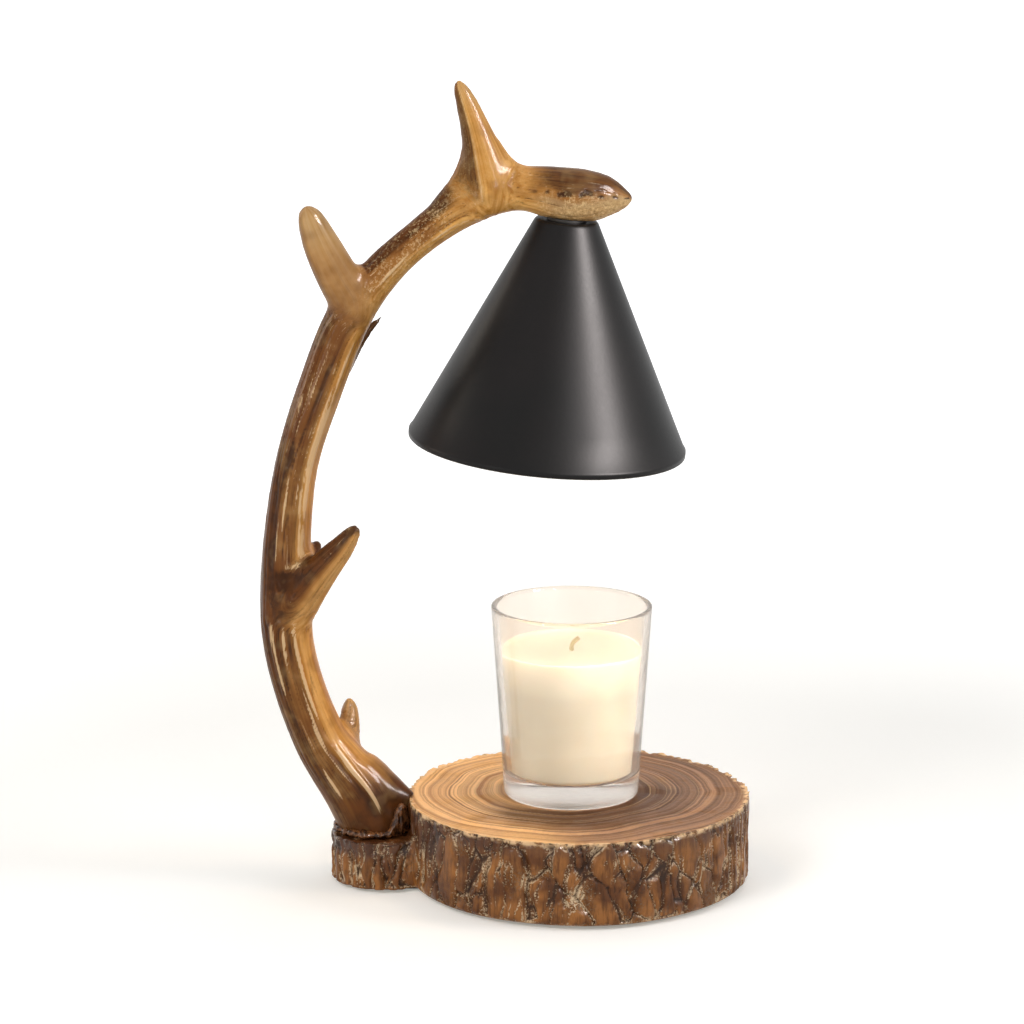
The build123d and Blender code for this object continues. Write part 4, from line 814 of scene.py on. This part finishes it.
# Root bead: dark glossy resin filler run round the antler's foot, left lumpy.
bead = bmesh.new()
bead_middle = Vector((-85.5, 0, 23.2))
bead_across, bead_deep = 15.4, 14.9
ring_count, side_count = 220, 28
rows = []
for i in range(ring_count):
    turn = 2 * pi * i / ring_count
    out = Vector((cos(turn), sin(turn), 0))
    wobble = clouds(out.x, out.y, 0, 0.16, 3) + 0.6 * clouds(out.x, out.y, 0, 0.07, 8)
    tall = step_up(out.x, 0.3, 0.8)
    row = []
    for j in range(side_count):
        slope = 2 * pi * j / side_count
        wide = 2.3 + 0.9 * wobble
        high = 1.4 + 0.6 * wobble + 5.5 * tall
        spot = bead_middle + Vector((out.x * (bead_across - 1.8 * tall), out.y * bead_deep, 4.4 * tall))
        rind = out * cos(slope) + Vector((0, 0, sin(slope)))
        place = spot + out * wide * cos(slope) + Vector((0, 0, high * sin(slope)))
        spot = place + rind * (0.9 * clouds(*place, 9, 6) + 0.7 * clouds(*place, 2.6, 9))
        spot.z = max(burl_top + 0.05, spot.z)
        row.append(bead.verts.new(spot * MM))
    rows.append(row)
for i in range(ring_count):
    for j in range(side_count):
        near, far = rows[i], rows[(i + 1) % ring_count]
        after = (j + 1) % side_count
        bead.faces.new((near[j], far[j], far[after], near[after]))
bmesh.ops.recalc_face_normals(bead, faces=bead.faces)
dark_resin = Finish("dark_resin", Coat_Weight=0.6, Coat_Roughness=0.06, Coat_IOR=1.4, Specular_IOR_Level=0.12)
here = dark_resin.place()
clot = dark_resin.speckle(here, 420, 3, 0.6)
dark_resin.set(
    Base_Color=dark_resin.blend(clot.limit(0.4, 0.65), linear(50, 27, 13), linear(128, 82, 46)),
    Roughness=clot * 0.3 + 0.1,
    Normal=dark_resin.bump(clot, 0.0008, 0.9),
)
finish_piece(bead, "foot_bead", "base", dark_resin.material, ["root_bead"])


# Head: the zinc nipple and nuts that carry the shade, the steel shade itself, spun with a rolled hem
# and painted satin black outside and pale inside, and the white lampholder on its bracket.
shade_profile = [
    (5.3, 0.02), (11.6, 0.02), (12.6, 0.2), (13.2, 0.8), (13.7, 1.8), (57.0, 92.1), (57.5, 92.5),
    (57.55, 93.3), (57.5, 94.6), (57.1, 94.95), (56.4, 94.9), (56.0, 94.5), (55.7, 92.9),
    (12.9, 3.0), (12.3, 1.7), (11.4, 1.25), (5.3, 1.2),
]
shade_top, shade_rim, shade_height = 13.0, 57.5, 95.0
shade = turned(shade_profile, 256, closed=True)
slanted = [e for e in shade.edges if abs(e.verts[0].co.z - e.verts[1].co.z) > 0.06]
bmesh.ops.subdivide_edges(shade, edges=slanted, cuts=6)
lining = shade.verts.layers.float.new("lining")
for v in shade.verts:
    depth = v.co.z / MM
    middle_of_wall = shade_top + (shade_rim - shade_top) * depth / shade_height - 0.25
    v[lining] = 1.0 if v.co.xy.length / MM < middle_of_wall and depth > 1.0 else 0.0
aimed(shade, head_top, head_axis, (0, 1, 0))
paint = Finish("shade_paint", Specular_IOR_Level=0.15)
here = paint.place()
peel = paint.speckle(here, 900, 3, 0.5)
drift = paint.speckle(here, 22, 2, 0.5)
black = paint.blend(drift.limit(0.35, 0.65), linear(15, 15, 15), linear(22, 19, 19))
white = paint.blend(peel.limit(0.4, 0.6), linear(226, 220, 208), linear(236, 231, 220))
paint.set(
    Base_Color=paint.blend(paint.read("lining"), black, white),
    Roughness=peel * 0.08 + drift * 0.06 + 0.33,
    Normal=paint.bump(peel, 0.00003, 0.5),
)
finish_piece(shade, "spun_shade", "shade_head", paint.material, ["shade"])
ceramic = grained(
    "ceramic", linear(222, 220, 210), linear(238, 236, 228), 0.004, 0.25, 0.00003, Coat_Weight=0.3,
)
dark_steel = grained("dark_steel", linear(30, 28, 26), linear(56, 52, 48), 0.0012, 0.5, 0.00003)
dress(dark_steel, "seat_washer")
dress(zinc, "head_nipple", "lock_washer", "lock_nut", "holder_bracket", "holder_screws")
dress(brass, "holder_contacts")
dress(ceramic, "lampholder")


# Reflector lamp: a ceramic base with two brass pins, an aluminised glass reflector, a clear capsule
# with its tungsten coil, and a clear front glass. It is lit, and warms the candle below.
glow = Finish("front_glow", Base_Color=(1, 0.9, 0.75, 1), Roughness=0.3, Emission_Strength=10.0)
rings = glow.cells(glow.place(), 420)
glow.set(Emission_Color=glow.blend(rings.limit(0.1, 0.6), (1.0, 0.78, 0.52, 1), (1.0, 0.66, 0.36, 1)))
mirror = grained(
    "reflector_glass", linear(196, 196, 198), linear(232, 232, 234), 0.003, 0.18, 0.00004, Metallic=1.0,
)
clear = grained(
    "capsule_glass", (0.9, 0.92, 0.92, 1), (1, 1, 1, 1), 0.004, 0.12, 0.00001, Transmission_Weight=1.0,
)
tungsten = grained(
    "tungsten", linear(120, 112, 104), linear(170, 164, 156), 0.0006, 0.35, 0.00001, Metallic=1.0,
)
dress(ceramic, "bulb_base")
dress(brass, "bulb_pins")
dress(mirror, "bulb_reflector")
dress(glow, "bulb_glass")
dress(clear, "bulb_capsule")
dress(tungsten, "bulb_filament")


# Jar candle: a clear pressed tumbler with a thick base, poured cream wax that climbs the wall at its
# edge, and a braided wick in a steel tab. It is loose, and stands on the slice by its own weight.
jar_low, jar_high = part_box("candle_jar")
candle_foot = Vector(((jar_low[0] + jar_high[0]) / 2, (jar_low[1] + jar_high[1]) / 2, jar_low[2])) / MM
jar_profile = [
    (0, 0.9), (22, 0.6), (24.5, 0.15), (26.4, 0.02), (27.5, 0.35), (28.1, 1.1), (28.25, 2.0),
    (33.6, 79.9), (33.68, 80.8), (33.3, 81.35), (32.6, 81.5), (31.8, 81.35), (31.25, 80.8),
    (31.1, 79.9), (26.3, 12.3), (25.7, 10.4), (24.2, 9.6), (0, 9.5),
]


def jar_inner(height):
    """The radius of the jar's inside at a height over its foot, in mm."""
    return 26.3 + (height - 12.3) * 4.8 / 67.6


def stand(mesh):
    mesh.transform(Matrix.Translation(candle_foot * MM))
    return mesh


jar = stand(turned(jar_profile, 160))
glass = Finish("jar_glass", Transmission_Weight=0.92, IOR=1.3)
here = glass.place()
swirl = glass.speckle(glass.scaled(here, 1, 1, 0.4), 40, 2)
thick_foot = (glass.along(2) * -1 + (candle_foot.z + 9.8) * MM).limit(0, 0.001)
shadow_ray = glass.node("ShaderNodeLightPath", output="Is Shadow Ray")
glass.set(
    Base_Color=glass.blend(swirl.limit(0.35, 0.65), (0.87, 0.81, 0.745, 1), (0.92, 0.87, 0.81, 1)),
    Roughness=swirl * 0.03 + thick_foot * 0.22,
    Alpha=(shadow_ray * -0.9 + 1),
    Normal=glass.bump(swirl, 0.00015, 0.6),
)
finish_piece(jar, "glass_jar", "candle", glass.material, ["candle_jar"])

wax_edge = 63.0
wax_profile = [(0, 9.62), (24.0, 9.72), (25.5, 10.5), (26.1, 12.3)]
wax_profile += [(jar_inner(h) - 0.12, h) for h in (20, 30, 40, 50, 58, 61, 62.4)]
wax_profile += [
    (jar_inner(wax_edge) - 0.3, wax_edge - 0.05), (29.0, 62.6), (28.2, 62.05), (26.8, 61.65), (24, 61.45),
    (18, 61.4), (8, 61.35), (2.5, 61.4), (0, 61.45),
]
wax = turned(wax_profile, 128)
for v in wax.verts:
    if v.co.z > 61 * MM and v.co.xy.length < 29 * MM:
        v.co.z += 0.25 * MM * clouds(v.co.x / MM, v.co.y / MM, 0, 14, 3)
stand(wax)
wax_finish = Finish("wax", Subsurface_Weight=0.6, Subsurface_Scale=0.012, Subsurface_Radius=(1.0, 0.75, 0.5))
here = wax_finish.place()
cream = wax_finish.speckle(here, 35, 3, 0.5)
pits = wax_finish.speckle(here, 700, 2)
heel = (wax_finish.along(2) * -1 + (candle_foot.z + 11.7) * MM).limit(0, 0.0012)
# Painted glow: a warm emission near the wax's top stands in for the lamp's light falling on it from above.
lit = (wax_finish.along(2) - (candle_foot.z + 47) * MM).limit(0, 0.016)
body = wax_finish.blend(cream.limit(0.35, 0.65), linear(180, 175, 157), linear(191, 187, 170))
wax_finish.set(
    Base_Color=wax_finish.blend(heel * 0.8, body, linear(188, 146, 74)),
    Emission_Color=wax_finish.blend(lit, (0.0, 0.0, 0.0, 1), (1.0, 0.92, 0.74, 1)),
    Emission_Strength=0.35,
    Roughness=cream * 0.2 + 0.35,
    Normal=wax_finish.bump(pits * 0.3 + cream, 0.0004, 0.4),
)
finish_piece(wax, "poured_wax", "candle", wax_finish.material, ["candle_wax"])
cotton = grained("wick_cotton", linear(150, 132, 84), linear(204, 190, 140), 0.0009, 0.9, 0.0003, (1, 1, 0.5))
dress(cotton, "candle_wick")
dress(zinc, "wick_tab")


# Studio: a pale table and soft lamps. White behind the object comes from the way the camera, mirrors
# and glass see the floor and the world, and not from more light.
def soft_lamp(name, place, target, width, height, watts, colour=(1, 1, 1), gloss=False):
    """A lamp for the light on things, or with gloss the lamp that shiny surfaces mirror."""
    data = bpy.data.lights.new(name, "AREA")
    data.shape = "RECTANGLE"
    data.size = width
    data.size_y = height
    data.energy = watts
    data.color = colour
    lamp = bpy.data.objects.new(name, data)
    lamp.location = place
    lamp.rotation_euler = (Vector(target) - Vector(place)).to_track_quat("-Z", "Y").to_euler()
    lamp.visible_diffuse = not gloss
    lamp.visible_transmission = not gloss
    lamp.visible_glossy = gloss
    bpy.context.scene.collection.objects.link(lamp)


lamp_middle = (-0.03, 0, 0.15)
soft_lamp("key", (-0.9, -1.0, 1.1), lamp_middle, 0.6, 0.6, 13, (1, 0.97, 0.93))
soft_lamp("right", (1.3, -0.25, 0.8), lamp_middle, 0.4, 0.5, 7)
soft_lamp("top", (0.1, 0.3, 1.5), lamp_middle, 1.0, 1.0, 6)
soft_lamp("front", (0.3, -1.6, 0.9), lamp_middle, 0.5, 0.5, 3.5)
soft_lamp("band", (0.89, -0.5, 0.86), (0, 0, 0.24), 0.34, 0.62, 52, (1, 0.93, 0.91), gloss=True)
soft_lamp("left_edge", (-1.1, 0.45, 0.55), (0, 0, 0.24), 0.5, 0.6, 4.5, (1, 0.84, 0.68), gloss=True)
soft_lamp("left_gloss", (-0.9, -1.0, 0.22), (-0.1, 0, 0.15), 0.07, 0.4, 1.6, gloss=True)
soft_lamp("right_gloss", (0.6, -1.15, 0.66), (-0.05, 0, 0.28), 0.08, 0.5, 3.8, gloss=True)


def bright_for_view(tree, low, high):
    """A strength of low for the light that falls on things, and high for what view, mirrors and glass see."""
    seen = tree.nodes.new("ShaderNodeLightPath")
    total = None
    for ray in ("Is Camera Ray", "Is Glossy Ray", "Is Transmission Ray"):
        either = tree.nodes.new("ShaderNodeMath")
        either.operation = "MAXIMUM"
        tree.links.new(seen.outputs[ray], either.inputs[0])
        either.inputs[1].default_value = 0.0
        if total:
            tree.links.new(total, either.inputs[1])
        total = either.outputs[0]
    grey = tree.nodes.new("ShaderNodeMix")
    grey.data_type = "RGBA"
    grey.inputs[6].default_value = (*low, 1)
    grey.inputs[7].default_value = (*high, 1)
    tree.links.new(total, grey.inputs[0])
    return grey.outputs[2]


world = bpy.data.worlds.new("studio")
world.use_nodes = True
bpy.context.scene.world = world
sky = world.node_tree.nodes["Background"]
sky.inputs["Strength"].default_value = 1.0
sky_colour = bright_for_view(world.node_tree, (0.25, 0.25, 0.255), (1, 1, 1))
world.node_tree.links.new(sky_colour, sky.inputs["Color"])

floor_mesh = bmesh.new()
bmesh.ops.create_grid(floor_mesh, x_segments=1, y_segments=1, size=6)
floor_data = bpy.data.meshes.new("floor")
floor_mesh.to_mesh(floor_data)
floor_mesh.free()
floor = bpy.data.objects.new("floor", floor_data)
bpy.context.scene.collection.objects.link(floor)
table = Finish(
    "floor", Base_Color=(0.8, 0.8, 0.8, 1), Roughness=0.9, Specular_IOR_Level=0.1, Emission_Strength=1.0,
)
seen_glow = Wire(table, bright_for_view(table.tree, (0, 0, 0), (0.3, 0.29, 0.26)))
far_glow = Wire(table, bright_for_view(table.tree, (0, 0, 0), (1, 1, 1)))
away = table.node("ShaderNodeVectorMath", {"operation": "LENGTH"}, {0: table.place()}, output=1)
table.set(Emission_Color=table.blend(away.limit(0.3, 1.1), seen_glow, far_glow))
floor_data.materials.append(table.material)
